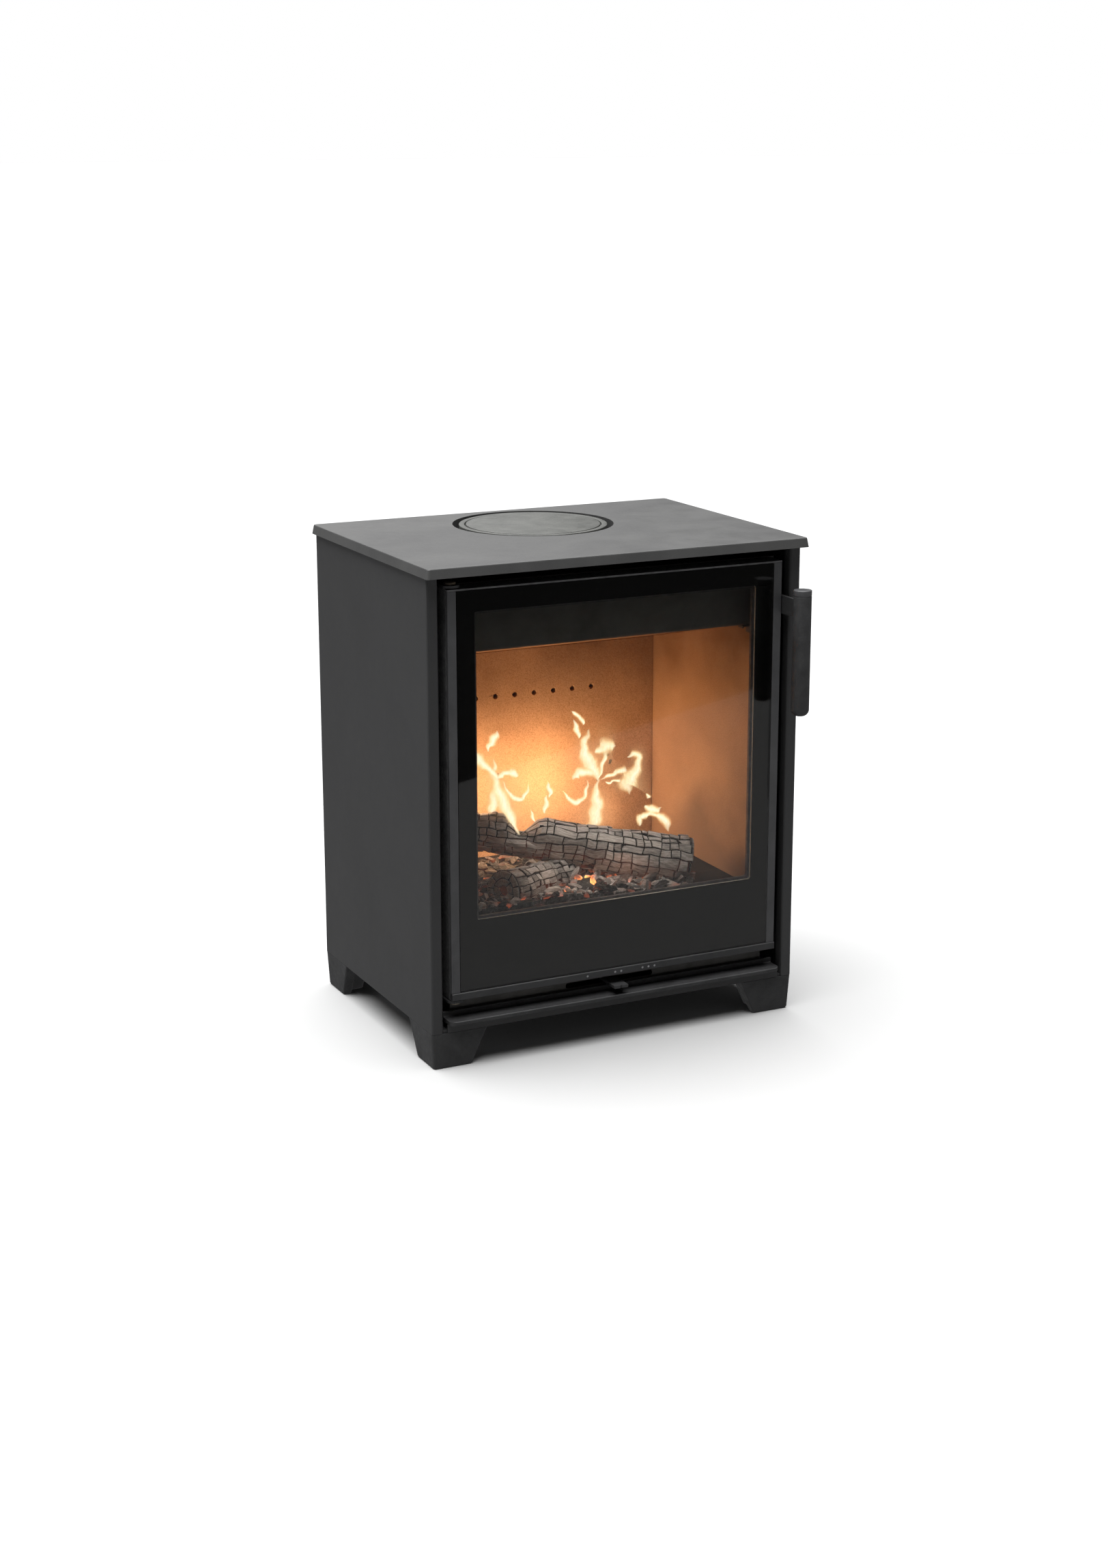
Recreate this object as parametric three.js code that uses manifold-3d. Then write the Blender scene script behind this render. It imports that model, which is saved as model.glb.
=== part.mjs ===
// Freestanding steel wood stove with a full-glass door, cast feet and a lift-off hot plate.
// Millimetres. X to the right, Y to the back, Z up; the floor is Z = 0.
// "Depth" below means the distance behind the front face of the casing.

import * as THREE from 'three';
import { mergeVertices } from 'three/addons/utils/BufferGeometryUtils.js';
import Module from 'manifold-3d';

const wasm = await Module();
wasm.setup();

// ---------------------------------------------------------------- driving dimensions

const overallHeight = 600;
const bodyWidth = 490;
const bodyDepth = 345.4;
const footHeight = 44.5;
const casingSheet = 2;
const seatGap = 0.3; // left between pieces that rest on each other

const topThickness = 11.4;
const topOverhang = { side: 4.2, front: 13.4, back: 3.2 };
const topEdgeDraft = 1.6;
const topEdgeRound = 1.2;
const topCornerRadius = 3.5;
const topHoleRadius = 100;
const lidCentreDepth = 233.7;

const sideFlange = 14.4;
const sideFlangeReturn = 14;
const rearFlange = 16;
const casingBend = 2.8;

const footLegTop = 71;
const footLegFloor = 51.2;
const footWall = 15.5;
const footWallFloor = 13.8;
const footFaceInset = 2.2;
const footCornerRadius = 3.5;
const footPadReach = 30;
const footPadLift = 4.5;
const footEdgeRound = 2.4;

const basePlate = 3;
const baseFrontFlange = 10;
const baseFrontHalfWidth = 225;
const airIntakeRadius = 40;
const airIntakeDepth = 255;

const ventWidth = 5;
const ventLength = 46;
const ventPitch = 18;
const ventCount = 4; // in each group beside the air channel
const ventFirst = 145;
const ventHeights = [82, 290]; // above the base plate

const lipHalfWidth = 224.5;
const lipReach = 8.5;
const lipThickness = 4.9;
const lipBack = 17.7;
const lipUpstandHeight = 11.2;
const lipUpstand = 3;
const lipCornerRadius = 8;

const doorSideGap = 11.4;
const gapUnderDoor = 38.6;
const gapOverDoor = 15.9;
const doorThickness = 28;
const doorTopLip = 2;
const doorWeb = 4;
const doorRearRib = 4;
const stripWidth = 11;
const stripThickness = 5;
const bottomBarHeight = 8.8;
const bottomBarProud = 1.5;
const dotPitch = 8.2;
const dotRadius = 1.5;
const dotSink = 0.7;
const glassThickness = 4;
const glassTape = 2.7;
const glassTapeWidth = 12;
const windowMargin = { side: 23.2, top: 25.7, bottom: 85.8 };
const windowCornerRadius = 3;
const frameRevealStep = 3.2;
const ropeWidth = 8;
const ropeInset = 7.5;
const grooveDepth = 7;
const doorToFrameGap = 3;

const hingeInset = 8.2;
const hingeDepth = 12;
const hingePinRadius = 4;
const hingeBoreDepth = 14;
const runningGap = 0.3;
const hingeTab = 3;
const hingeTabGap = 1.1;
const hingeTabHalfWidth = 11;

const gripRadius = 11;
const gripLength = 153.3;
const gripStandoff = 43;
const gripTopBelowDoorTop = 29;
const gripEndRound = 8;
const gripCapHeight = 6.5;
const gripCapGroove = 0.8;
const leverThickness = 4;
const leverHeight = 22;
const leverGap = 1.1;
const leverPivotDepth = 10;
const leverPivotBelowDoorTop = 53.7;
const leverPinRadius = 4;
const keeperDepth = 24;
const keeperPinRadius = 3;
const keeperPinLift = 2;
const keeperPlate = 3;
const keeperCheek = 5;
const keeperDrop = 7;
const keeperRise = 27;
const keeperFoot = 2.4;
const keeperFootLift = 12;
const toothThickness = 3.1;
const toothHeight = 4;

const fireboxPlate = 4;
const sideAirGap = 17;
const rearAirGap = 24.1;
const fireboxUnderDoorBottom = 0.8;
const roofBelowTopPlate = 22.6;
const frameOpeningInset = 19.2;
const frameOpeningRadius = 6;
const sideBrick = 20.7;
const sideBrickKnee = 62;
const backBrick = 25;
const hearthBrick = 23.7;
const hearthHeight = 160;
const hearthPlate = 3;
const hearthLedgeWidth = 12;
const hearthLedgeThickness = 5;
const hearthFlangeHeight = 32;
const hearthFlangeDepth = 37.5;
const backHoleCount = 9;
const backHoleSpacing = 27.4;
const backHoleRadius = 3.2;
const backHoleBelowBaffle = 59;

const baffleThickness = 25;
const baffleFrontDepth = 95;
const baffleBelowRoof = 132;
const baffleSlope = 0.25;
const baffleBackGap = 3;
const deflectorDrop = 73.5;
const deflectorDepth = 38;
const deflectorSheet = 2.5;
const deflectorFoot = 22;
const deflectorHem = 5;
const deflectorHalfWidth = 200.5;

const grateLength = 170;
const grateWidth = 115;
const grateDepth = 110;
const grateRim = 15;
const grateTop = 8;
const grateDrop = 4;
const grateSlot = 7;
const grateBar = 8;

const panHalfWidth = 150;
const panFront = 42;
const panLength = 220;
const panHeight = 34;
const panSheet = 1.5;
const panRunner = 8;
const panRunnerWidth = 10;
const panRunnerInset = 20;
const panPullHole = 9;
const panPullHoleDrop = 13;

const airBoxHalfWidth = 212.5;
const airBoxDepth = 22;
const airSlotHalfLength = 59.6;
const airSlotHeight = 7;
const airSlotCentre = 69.8;
const leverTravel = 41.5;
const leverTabWidth = 18.6;
const leverTabThickness = 3.4;
const leverTabTop = 71.9;
const leverTabReach = 10;
const leverNotch = 1.7;
const leverRise = 67;
const leverCrank = 6;
const leverEndDepth = 104;
const slidePlate = 2.5;
const slideFront = 60;
const slideWidth = 60;
const slideHalfLength = 150;
const railThickness = 3;
const railLedge = 5;
const portLength = 60;
const portWidth = 24;
const portCentre = 85;
const portCornerRadius = 6;
const secondaryPortHalf = 90;
const airChannelHalfWidth = 125;
const airChannelOverHoles = 14;

const flueRadius = 75;
const collarWall = 4;
const collarFlange = 84;
const collarFlangeThickness = 3;
const rearFlueRoofGap = 3;
const rearAccessRadius = 88;

// Log ends: share of the half hearth, share of the hearth's depth from its front, height over the bricks.
const rearLog = { from: [-0.945, 0.676, 83], to: [0.756, 0.138, 27], radii: [18, 34], turn: 0.6 };
const frontLog = { from: [-0.567, 0.17, 29], to: [0.06, 0.379, 18.5], radii: [25.5, 16], turn: 2.1 };
const propLog = { from: [-0.756, 0.411, 33.5], to: [-0.856, 0.849, 33.5], radii: [27, 26], turn: 4.4 };
const logSides = 12;
const logStations = 8;
const logWander = 0.05;
const logEndRound = 0.86;
const logFlatness = 0.94;
const logNotch = { at: [-0.284, 0.43, 66], halfWidth: 21, height: 40 };
const emberSpan = { across: [-0.97, 0.66], deep: [0.01, 0.9] };
const emberHeight = 15;
const emberLumps = 4;
const emberCells = [14, 8];

const lidRadius = 92;
const lidThickness = 7.7;
const lidDiscRadius = 83.4;
const lidDiscThickness = 3.7;
const lidGroove = 1.6;
const lidLedge = 22;
const lidSpigotLength = 12;
const lidSpigotGap = 0.6;
const lidSpigotWall = 4;

// ---------------------------------------------------------------- places worked out from them

const gripFront = gripStandoff + gripRadius;
const frontY = -(bodyDepth + topOverhang.back - gripFront) / 2;
const halfBody = bodyWidth / 2;
const topUnderside = overallHeight - topThickness;
const casingInner = halfBody - casingSheet - seatGap;
const backInside = bodyDepth - 2 * casingSheet - seatGap;

const doorHalf = halfBody - sideFlange - doorSideGap;
const doorBottom = footHeight + gapUnderDoor;
const doorTop = topUnderside - gapOverDoor;
const doorBodyFront = stripThickness + seatGap;
const glassHalf = doorHalf - stripWidth - seatGap;
const glassBottom = doorBottom + bottomBarHeight + seatGap;
const glassTop = doorTop - doorTopLip - seatGap;
const windowHalf = glassHalf - windowMargin.side;
const windowBottom = glassBottom + windowMargin.bottom;
const windowTop = glassTop - windowMargin.top;
const webFront = glassThickness + glassTape + 2 * seatGap;
const webBack = webFront + doorWeb;

const frameFront = doorThickness + doorToFrameGap;
const frameBack = frameFront + fireboxPlate;
const fireboxHalf = halfBody - casingSheet - sideAirGap;
const fireboxInner = fireboxHalf - fireboxPlate;
const fireboxFront = frameBack + seatGap;
const fireboxBack = bodyDepth - casingSheet - rearAirGap;
const fireboxBackInner = fireboxBack - fireboxPlate;
const fireboxBottom = doorBottom - fireboxUnderDoorBottom;
const fireboxFloor = fireboxBottom + fireboxPlate;
const fireboxTop = topUnderside - roofBelowTopPlate;
const fireboxRoof = fireboxTop - fireboxPlate;
const deflectorHeight = fireboxRoof - deflectorDrop;
const rearFlueHeight = fireboxRoof - rearFlueRoofGap - flueRadius;
const baffleBackHeight = fireboxRoof - baffleBelowRoof;
const backHoleHeight = baffleBackHeight - backHoleBelowBaffle;
const frameOpeningHalf = doorHalf - frameOpeningInset;
const brickFace = fireboxInner - seatGap - sideBrick;
const backBrickFace = fireboxBackInner - seatGap - backBrick;
const hearthPlateTop = hearthHeight - hearthBrick - seatGap;
const hearthPlateBottom = hearthPlateTop - hearthPlate;
const hearthFrontEdge = hearthFlangeDepth + hearthPlate + seatGap;

const hingeX = -(doorHalf - hingeInset);
const leverX = doorHalf + leverGap;
const leverMiddleX = leverX + leverThickness / 2;
const leverPivotZ = doorTop - leverPivotBelowDoorTop;
const gripTop = doorTop - gripTopBelowDoorTop;
const lidSeatZ = overallHeight - seatGap - lidThickness;
const airBoxTop = fireboxBottom - seatGap;
const baseTop = footHeight + basePlate;

// ---------------------------------------------------------------- small geometry helpers

function atDepth(depth) {
  return frontY + depth;
}

// Two coordinates in rising order, for a span that is mirrored to the other side.
function ordered(a, b) {
  return a < b ? [a, b] : [b, a];
}

function signedVolume(positions, index) {
  const corners = [new THREE.Vector3(), new THREE.Vector3(), new THREE.Vector3()];
  let total = 0;
  for (let i = 0; i < index.length; i += 3) {
    corners.forEach((corner, k) => corner.fromArray(positions, 3 * index[i + k]));
    total += corners[0].dot(corners[1].clone().cross(corners[2])) / 6;
  }
  return total;
}

// A closed geometry as a solid, with its faces turned outwards whichever way it was drawn.
function solidOf(geometry) {
  const bare = geometry.clone();
  bare.deleteAttribute('normal');
  bare.deleteAttribute('uv');
  const merged = mergeVertices(bare, 1e-4);
  const vertProperties = new Float32Array(merged.attributes.position.array);
  const triVerts = new Uint32Array(merged.index.array);
  if (signedVolume(vertProperties, triVerts) < 0) triVerts.reverse();
  return new wasm.Manifold(new wasm.Mesh({ numProp: 3, vertProperties, triVerts }));
}

function geometryOf(solid) {
  const mesh = solid.getMesh();
  const geometry = new THREE.BufferGeometry();
  geometry.setAttribute('position', new THREE.BufferAttribute(mesh.vertProperties, 3));
  geometry.setIndex(new THREE.BufferAttribute(mesh.triVerts, 1));
  geometry.computeVertexNormals();
  return geometry;
}

function block([x0, x1], [depth0, depth1], [z0, z1]) {
  const box = new THREE.BoxGeometry(x1 - x0, depth1 - depth0, z1 - z0);
  box.translate((x0 + x1) / 2, atDepth((depth0 + depth1) / 2), (z0 + z1) / 2);
  return solidOf(box);
}

// Outlines are lists of [u, v]: x and depth along Z, x and z along Y, depth and z along X.
const prismAxes = {
  z: (u, v, w) => [u, atDepth(v), w],
  y: (u, v, w) => [u, atDepth(w), v],
  x: (u, v, w) => [w, atDepth(u), v],
};

function prism(axis, outline, [from, to]) {
  const shape = new THREE.Shape(outline.map(([u, v]) => new THREE.Vector2(u, v)));
  const geometry = new THREE.ExtrudeGeometry(shape, { depth: to - from, bevelEnabled: false });
  const positions = geometry.attributes.position;
  for (let i = 0; i < positions.count; i += 1) {
    const place = prismAxes[axis](positions.getX(i), positions.getY(i), positions.getZ(i) + from);
    positions.setXYZ(i, ...place);
  }
  return solidOf(geometry);
}

function circle([u, v], radius, sides = 32) {
  return Array.from({ length: sides }, (_, i) => {
    const turn = ((i + 0.5) / sides) * 2 * Math.PI;
    return [u + radius * Math.cos(turn), v + radius * Math.sin(turn)];
  });
}

function rod(axis, centre, radius, span, sides = 32) {
  return prism(axis, circle(centre, radius, sides), span);
}

// Replaces each corner of an outline by an arc; radius is one number or one for each corner.
function rounded(outline, radius, steps = 5, isClosed = true) {
  const count = outline.length;
  const result = [];
  outline.forEach(([u, v], i) => {
    const r = Array.isArray(radius) ? radius[i] : radius;
    const isEnd = !isClosed && (i === 0 || i === count - 1);
    if (!r || isEnd) {
      result.push([u, v]);
      return;
    }
    const corner = new THREE.Vector2(u, v);
    const before = new THREE.Vector2(...outline[(i + count - 1) % count]).sub(corner).normalize();
    const after = new THREE.Vector2(...outline[(i + 1) % count]).sub(corner).normalize();
    const half = Math.acos(THREE.MathUtils.clamp(before.dot(after), -1, 1)) / 2;
    const middle = before.clone().add(after).normalize().multiplyScalar(r / Math.sin(half)).add(corner);
    const start = before.clone().multiplyScalar(r / Math.tan(half)).add(corner).sub(middle);
    const end = after.clone().multiplyScalar(r / Math.tan(half)).add(corner).sub(middle);
    const sweep = Math.atan2(start.cross(end), start.dot(end));
    for (let k = 0; k <= steps; k += 1) {
      const point = start.clone().rotateAround(new THREE.Vector2(), (sweep * k) / steps).add(middle);
      result.push([point.x, point.y]);
    }
  });
  return result;
}

function rectangle([u0, u1], [v0, v1]) {
  return [[u0, v0], [u1, v0], [u1, v1], [u0, v1]];
}

// Section of a folded sheet: path runs along one face, the thickness lies to its left.
function foldedSheet(path, thickness, bend) {
  const directions = path.slice(1).map(([u, v], i) => {
    return new THREE.Vector2(u - path[i][0], v - path[i][1]).normalize();
  });
  const turns = path.map((_, i) => {
    if (i === 0 || i === path.length - 1) return 0;
    return Math.sign(directions[i - 1].cross(directions[i]));
  });
  const other = path.map(([u, v], i) => {
    const into = directions[Math.max(i - 1, 0)];
    const out = directions[Math.min(i, directions.length - 1)];
    const scale = thickness / (1 + into.dot(out));
    return [u - (into.y + out.y) * scale, v + (into.x + out.x) * scale];
  });
  const inside = Math.max(bend - thickness, 0.2);
  const near = rounded(path, turns.map((turn) => (turn > 0 ? bend : inside)), 4, false);
  const far = rounded(other, turns.map((turn) => (turn > 0 ? inside : bend)), 4, false);
  return [...near, ...far.reverse()];
}

// Joins outlines with equal numbers of points, each at its own height, into one closed skin.
function loftGeometry(sections) {
  const count = sections[0].outline.length;
  const positions = sections.flatMap(({ outline, z }) => outline.flatMap(([u, v]) => [u, v, z]));
  const index = [];
  for (let s = 0; s + 1 < sections.length; s += 1) {
    for (let i = 0; i < count; i += 1) {
      const a = s * count + i;
      const b = s * count + ((i + 1) % count);
      index.push(a, b, b + count, a, b + count, a + count);
    }
  }
  const flat = sections[0].outline.map(([u, v]) => new THREE.Vector2(u, v));
  const last = (sections.length - 1) * count;
  THREE.ShapeUtils.triangulateShape(flat, []).forEach(([a, b, c]) => {
    index.push(a, c, b, last + a, last + b, last + c);
  });
  const geometry = new THREE.BufferGeometry();
  geometry.setAttribute('position', new THREE.Float32BufferAttribute(positions, 3));
  geometry.setIndex(index);
  return geometry;
}

function loft(sections) {
  return solidOf(loftGeometry(sections));
}

// A profile of [radius, height] turned about the local Z axis.
function turned(profile, sides = 48) {
  const points = profile.map(([radius, height]) => new THREE.Vector2(radius, height));
  const geometry = new THREE.LatheGeometry(points, sides);
  geometry.rotateX(Math.PI / 2);
  return solidOf(geometry);
}

function closedProfile(profile) {
  return [...profile, profile[0]];
}

// ---------------------------------------------------------------- finishes

const finishes = {
  castTop: { color: 0x565758, roughness: 0.72, metalness: 0.5 },
  castDark: { color: 0x2b2b2d, roughness: 0.78, metalness: 0.45 },
  castLid: { color: 0x5f605c, roughness: 0.66, metalness: 0.5 },
  paintedSteel: { color: 0x303134, roughness: 0.6, metalness: 0.35 },
  bareSteel: { color: 0x5a5a58, roughness: 0.5, metalness: 0.8 },
  ceramicGlass: { color: 0x16130f, roughness: 0.05, metalness: 0, transparent: true, opacity: 0.35 },
  fireBrick: { color: 0xb98a5a, roughness: 0.95, metalness: 0 },
  glassRope: { color: 0x8d8a80, roughness: 0.95, metalness: 0 },
  trimSteel: { color: 0x3c3d40, roughness: 0.42, metalness: 0.6 },
  charredWood: { color: 0x3a3632, roughness: 0.95, metalness: 0 },
};

const stove = new THREE.Group();

function add(name, solid, finish, parent = stove) {
  const mesh = new THREE.Mesh(geometryOf(solid), new THREE.MeshStandardMaterial(finishes[finish]));
  mesh.name = name;
  parent.add(mesh);
  return mesh;
}

// A group whose origin is a pivot or a seat; pieces drawn in stove coordinates are attached to it.
function pivotAt(x, y, z, parent = stove) {
  const group = new THREE.Group();
  group.position.set(x, y, z);
  parent.add(group);
  group.updateWorldMatrix(true, false);
  return group;
}

function attach(group, name, solid, finish) {
  const mesh = add(name, solid, finish);
  group.attach(mesh);
}

// ---------------------------------------------------------------- casing

function topPlate() {
  const xReach = halfBody + topOverhang.side;
  const front = atDepth(-topOverhang.front);
  const back = atDepth(bodyDepth + topOverhang.back);
  const outline = (inset) => {
    const sides = rectangle([-xReach + inset, xReach - inset], [front + inset, back - inset]);
    return rounded(sides, topCornerRadius);
  };
  const shoulder = overallHeight - topEdgeRound;
  const plate = loft([
    { outline: outline(0), z: topUnderside },
    { outline: outline(topEdgeDraft), z: shoulder },
    { outline: outline(topEdgeDraft + 0.3 * topEdgeRound), z: overallHeight - 0.3 * topEdgeRound },
    { outline: outline(topEdgeDraft + topEdgeRound), z: overallHeight },
  ]);
  const span = [topUnderside - 1, overallHeight + 1];
  return plate.subtract(rod('z', [0, lidCentreDepth], topHoleRadius, span, 96));
}

function sidePanel(side) {
  const inner = halfBody - sideFlange;
  const path = [
    [inner, sideFlangeReturn],
    [inner, 0],
    [halfBody, 0],
    [halfBody, bodyDepth],
    [halfBody - rearFlange, bodyDepth],
  ];
  const section = foldedSheet(path, casingSheet, casingBend).map(([x, depth]) => [side * x, depth]);
  return prism('z', section, [footHeight, topUnderside - seatGap]);
}

function backPanel() {
  const depth = [backInside, backInside + casingSheet];
  let panel = block([-casingInner, casingInner], depth, [baseTop + seatGap, topUnderside - seatGap]);
  panel = panel.subtract(rod('y', [0, rearFlueHeight], rearAccessRadius, [depth[0] - 1, depth[1] + 1], 64));
  return ventSlots(panel, depth);
}

// Upright convection slots in the rear sheet, low and high on each side of the air channel.
function ventSlots(panel, depth) {
  const through = [depth[0] - 1, depth[1] + 1];
  let slotted = panel;
  ventHeights.forEach((height) => {
    const upright = [baseTop + height - ventLength / 2, baseTop + height + ventLength / 2];
    for (let i = 0; i < ventCount; i += 1) {
      [-1, 1].forEach((side) => {
        const x = side * (ventFirst + i * ventPitch);
        const sides = rectangle([x - ventWidth / 2, x + ventWidth / 2], upright);
        slotted = slotted.subtract(prism('y', rounded(sides, ventWidth / 2 - 0.01, 2), through));
      });
    }
  });
  return slotted;
}

// Floor of the casing, turned up along the front and notched round the side panels' folds.
function baseTray() {
  const front = casingSheet + seatGap;
  const back = bodyDepth - casingSheet - seatGap;
  const frontAcross = [-baseFrontHalfWidth, baseFrontHalfWidth];
  const through = [footHeight - 1, baseTop + 1];
  const plate = block([-casingInner, casingInner], [front, back], [footHeight, baseTop]);
  const apron = block(frontAcross, [0, front], [footHeight, footHeight + baseFrontFlange]);
  const web = block(frontAcross, [front - 0.1, front + 0.5], [footHeight, baseTop]);
  const intake = rod('z', [0, airIntakeDepth], airIntakeRadius, through);
  let tray = plate.add(apron).add(web).subtract(intake);
  [-1, 1].forEach((side) => {
    const room = ordered(side * (halfBody - sideFlange - seatGap), side * halfBody);
    tray = tray.subtract(block(room, [-1, sideFlangeReturn + seatGap], through));
  });
  return tray;
}

// L-shaped outline; the outer corner of the casing is its origin.
function footSection(leg, wall, inset, shrink) {
  const low = inset + shrink;
  const legEnd = leg - shrink;
  const inside = wall - shrink;
  const corners = [
    [low, low],
    [legEnd, low],
    [legEnd, inside],
    [inside, inside],
    [inside, legEnd],
    [low, legEnd],
  ];
  return rounded(corners, [footCornerRadius, 2, 2, 4, 2, 2], 3);
}

// Drafted corner foot: thin outer walls down to the floor, and a thicker pad inside that stops short of it.
function foot() {
  const top = footHeight - seatGap;
  const padInset = 3;
  const padChamfer = 1.2;
  const section = (z, shrink, wallAtTop, wallAtFloor, inset) => {
    const toFloor = 1 - z / top;
    const leg = footLegTop - (footLegTop - footLegFloor) * toFloor - inset;
    const wall = wallAtTop - (wallAtTop - wallAtFloor) * toFloor;
    return { outline: footSection(leg, wall, footFaceInset * toFloor + inset, shrink), z };
  };
  const wallAt = (z, shrink) => section(z, shrink, footWall, footWallFloor, 0);
  const padAt = (z, shrink) => section(z, shrink, footPadReach, footPadReach, padInset);
  const round = footEdgeRound;
  const walls = loft([wallAt(0, round), wallAt(0.3 * round, 0.3 * round), wallAt(round, 0), wallAt(top, 0)]);
  const pad =loft([padAt(footPadLift, padChamfer), padAt(footPadLift + padChamfer, 0), padAt(top, 0)]);
  return walls.add(pad);
}

function casing() {
  add('top_plate', topPlate(), 'castTop');
  add('side_panel_left', sidePanel(-1), 'paintedSteel');
  add('side_panel_right', sidePanel(1), 'paintedSteel');
  add('back_panel', backPanel(), 'paintedSteel');
  add('base_plate', baseTray(), 'paintedSteel');
  const corners = [
    ['foot_front_left', -halfBody, 0, 0],
    ['foot_front_right', halfBody, 0, 1],
    ['foot_rear_right', halfBody, bodyDepth, 2],
    ['foot_rear_left', -halfBody, bodyDepth, 3],
  ];
  corners.forEach(([name, x, depth, quarterTurns]) => {
    const mesh = add(name, foot(), 'castDark');
    mesh.position.set(x, atDepth(depth), 0);
    mesh.rotation.z = (quarterTurns * Math.PI) / 2;
  });
  add('ash_lip', ashLip(), 'castDark');
}

function ashLip() {
  const low = footHeight + baseFrontFlange + seatGap;
  const high = low + lipThickness;
  const section = rounded(
    [
      [-lipReach, low],
      [lipBack, low],
      [lipBack, low + lipUpstandHeight],
      [lipBack - lipUpstand, low + lipUpstandHeight],
      [lipBack - lipUpstand, high],
      [-lipReach, high],
    ],
    [0.8, 1, 1, 1, 2, 1.5],
    3,
  );
  const bar = prism('x', section, [-lipHalfWidth, lipHalfWidth]);
  const plan = rounded(
    rectangle([-lipHalfWidth, lipHalfWidth], [-lipReach, lipBack + lipCornerRadius]),
    [lipCornerRadius, lipCornerRadius, 0, 0],
    6,
  );
  return bar.intersect(prism('z', plan, [low - 1, low + lipUpstandHeight + 1]));
}

// ---------------------------------------------------------------- air supply under the firebox

function portOutline(x, depth) {
  const across = [x - portLength / 2, x + portLength / 2];
  return rounded(rectangle(across, [depth - portWidth / 2, depth + portWidth / 2]), portCornerRadius, 3);
}

function cutPorts(solid, shift, span) {
  const depth = slideFront + slideWidth / 2;
  const left = prism('z', portOutline(-portCentre + shift, depth), span);
  const right = prism('z', portOutline(portCentre + shift, depth), span);
  return solid.subtract(left).subtract(right);
}

function airBox() {
  const back = backInside - seatGap;
  const low = baseTop + seatGap;
  const shell = block([-airBoxHalfWidth, airBoxHalfWidth], [airBoxDepth, back], [low, airBoxTop]);
  const inside = [airBoxDepth + casingSheet, back - casingSheet];
  const hollow = block(
    [-airBoxHalfWidth + casingSheet, airBoxHalfWidth - casingSheet],
    inside,
    [low - 1, airBoxTop - casingSheet],
  );
  const slotHalf = airSlotHalfLength;
  const slotSides = rectangle(
    [-slotHalf, slotHalf],
    [airSlotCentre - airSlotHeight / 2, airSlotCentre + airSlotHeight / 2],
  );
  const slot = prism('y', rounded(slotSides, airSlotHeight / 2 - 0.01, 5), [airBoxDepth - 1, inside[0] + 1]);
  const bracketRoom = block(
    [-airBoxHalfWidth - 1, hingeX + hingeTabHalfWidth + seatGap],
    [airBoxDepth - 1, frameBack + hingeTab + 2 * seatGap],
    [doorBottom - hingeTabGap - hingeTab - seatGap, airBoxTop + 1],
  );
  const throughTop = [airBoxTop - casingSheet - 1, airBoxTop + 1];
  const secondaryPort = block(
    [-secondaryPortHalf, secondaryPortHalf],
    [fireboxBack + casingSheet, back - 2 * casingSheet],
    throughTop,
  );
  let box = shell.subtract(hollow).subtract(slot).subtract(bracketRoom).subtract(secondaryPort);
  slideRails().forEach((rail) => {
    box = box.add(rail);
  });
  return cutPorts(box, 0, throughTop);
}

// Angle rails that carry the slide plate's long edges.
function slideRails() {
  const across = [-slideHalfLength - leverTravel, slideHalfLength + leverTravel];
  const plateBottom = airBoxTop - casingSheet - runningGap - slidePlate;
  const ledgeTop = plateBottom - runningGap;
  const rail = (edge, outward) => {
    const outer = edge + outward * (runningGap + railThickness);
    const ledgeDepth = ordered(edge - outward * railLedge, outer);
    const wallDepth = ordered(edge + outward * runningGap, outer);
    const ledge = block(across, ledgeDepth, [ledgeTop - railThickness, ledgeTop]);
    const wall = block(across, wallDepth, [ledgeTop - 0.1, airBoxTop - casingSheet + 0.1]);
    return ledge.add(wall);
  };
  return [rail(slideFront, -1), rail(slideFront + slideWidth, 1)];
}

function airSlide() {
  const high = airBoxTop - casingSheet - runningGap;
  const span = [high - slidePlate, high];
  const plate = block([-slideHalfLength, slideHalfLength], [slideFront, slideFront + slideWidth], span);
  return cutPorts(plate, -leverTravel, [span[0] - 1, span[1] + 1]);
}

// Cranked bar under the slide plate; its end stands out of the slot and has a V notch for a pointer.
function airLever() {
  const slideBottom = airBoxTop - casingSheet - runningGap - slidePlate;
  const low = leverTabTop - leverTabThickness;
  const armLow = slideBottom - seatGap - leverTabThickness;
  const path = [
    [-leverTabReach, low],
    [leverRise, low],
    [leverRise + leverCrank, armLow],
    [leverEndDepth, armLow],
  ];
  const bar = prism('x', foldedSheet(path, leverTabThickness, 5), [-leverTabWidth / 2, leverTabWidth / 2]);
  const notch = [
    [-leverNotch, -leverTabReach - 1],
    [leverNotch, -leverTabReach - 1],
    [0, -leverTabReach + leverNotch],
  ];
  return bar.subtract(prism('z', notch, [low - 1, leverTabTop + 1]));
}

// Duct up the back of the firebox that feeds the row of holes in the back brick.
function rearAirChannel() {
  const half = airChannelHalfWidth;
  const high = backHoleHeight + airChannelOverHoles;
  const depth = [fireboxBack + seatGap, backInside - seatGap];
  const shell = block([-half, half], depth, [airBoxTop + seatGap, high]);
  const hollow = block(
    [-half + casingSheet, half - casingSheet],
    [depth[0] - 1, depth[1] - casingSheet],
    [airBoxTop - 1, high - casingSheet],
  );
  return shell.subtract(hollow);
}

function airSupply() {
  add('air_box', airBox(), 'paintedSteel');
  add('air_slide_plate', airSlide(), 'bareSteel');
  add('air_lever', airLever(), 'paintedSteel');
  add('rear_air_channel', rearAirChannel(), 'paintedSteel');
}

// ---------------------------------------------------------------- firebox and its lining

function backHoleCentres() {
  return Array.from({ length: backHoleCount }, (_, i) => {
    return [(i - (backHoleCount - 1) / 2) * backHoleSpacing, backHoleHeight];
  });
}

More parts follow.
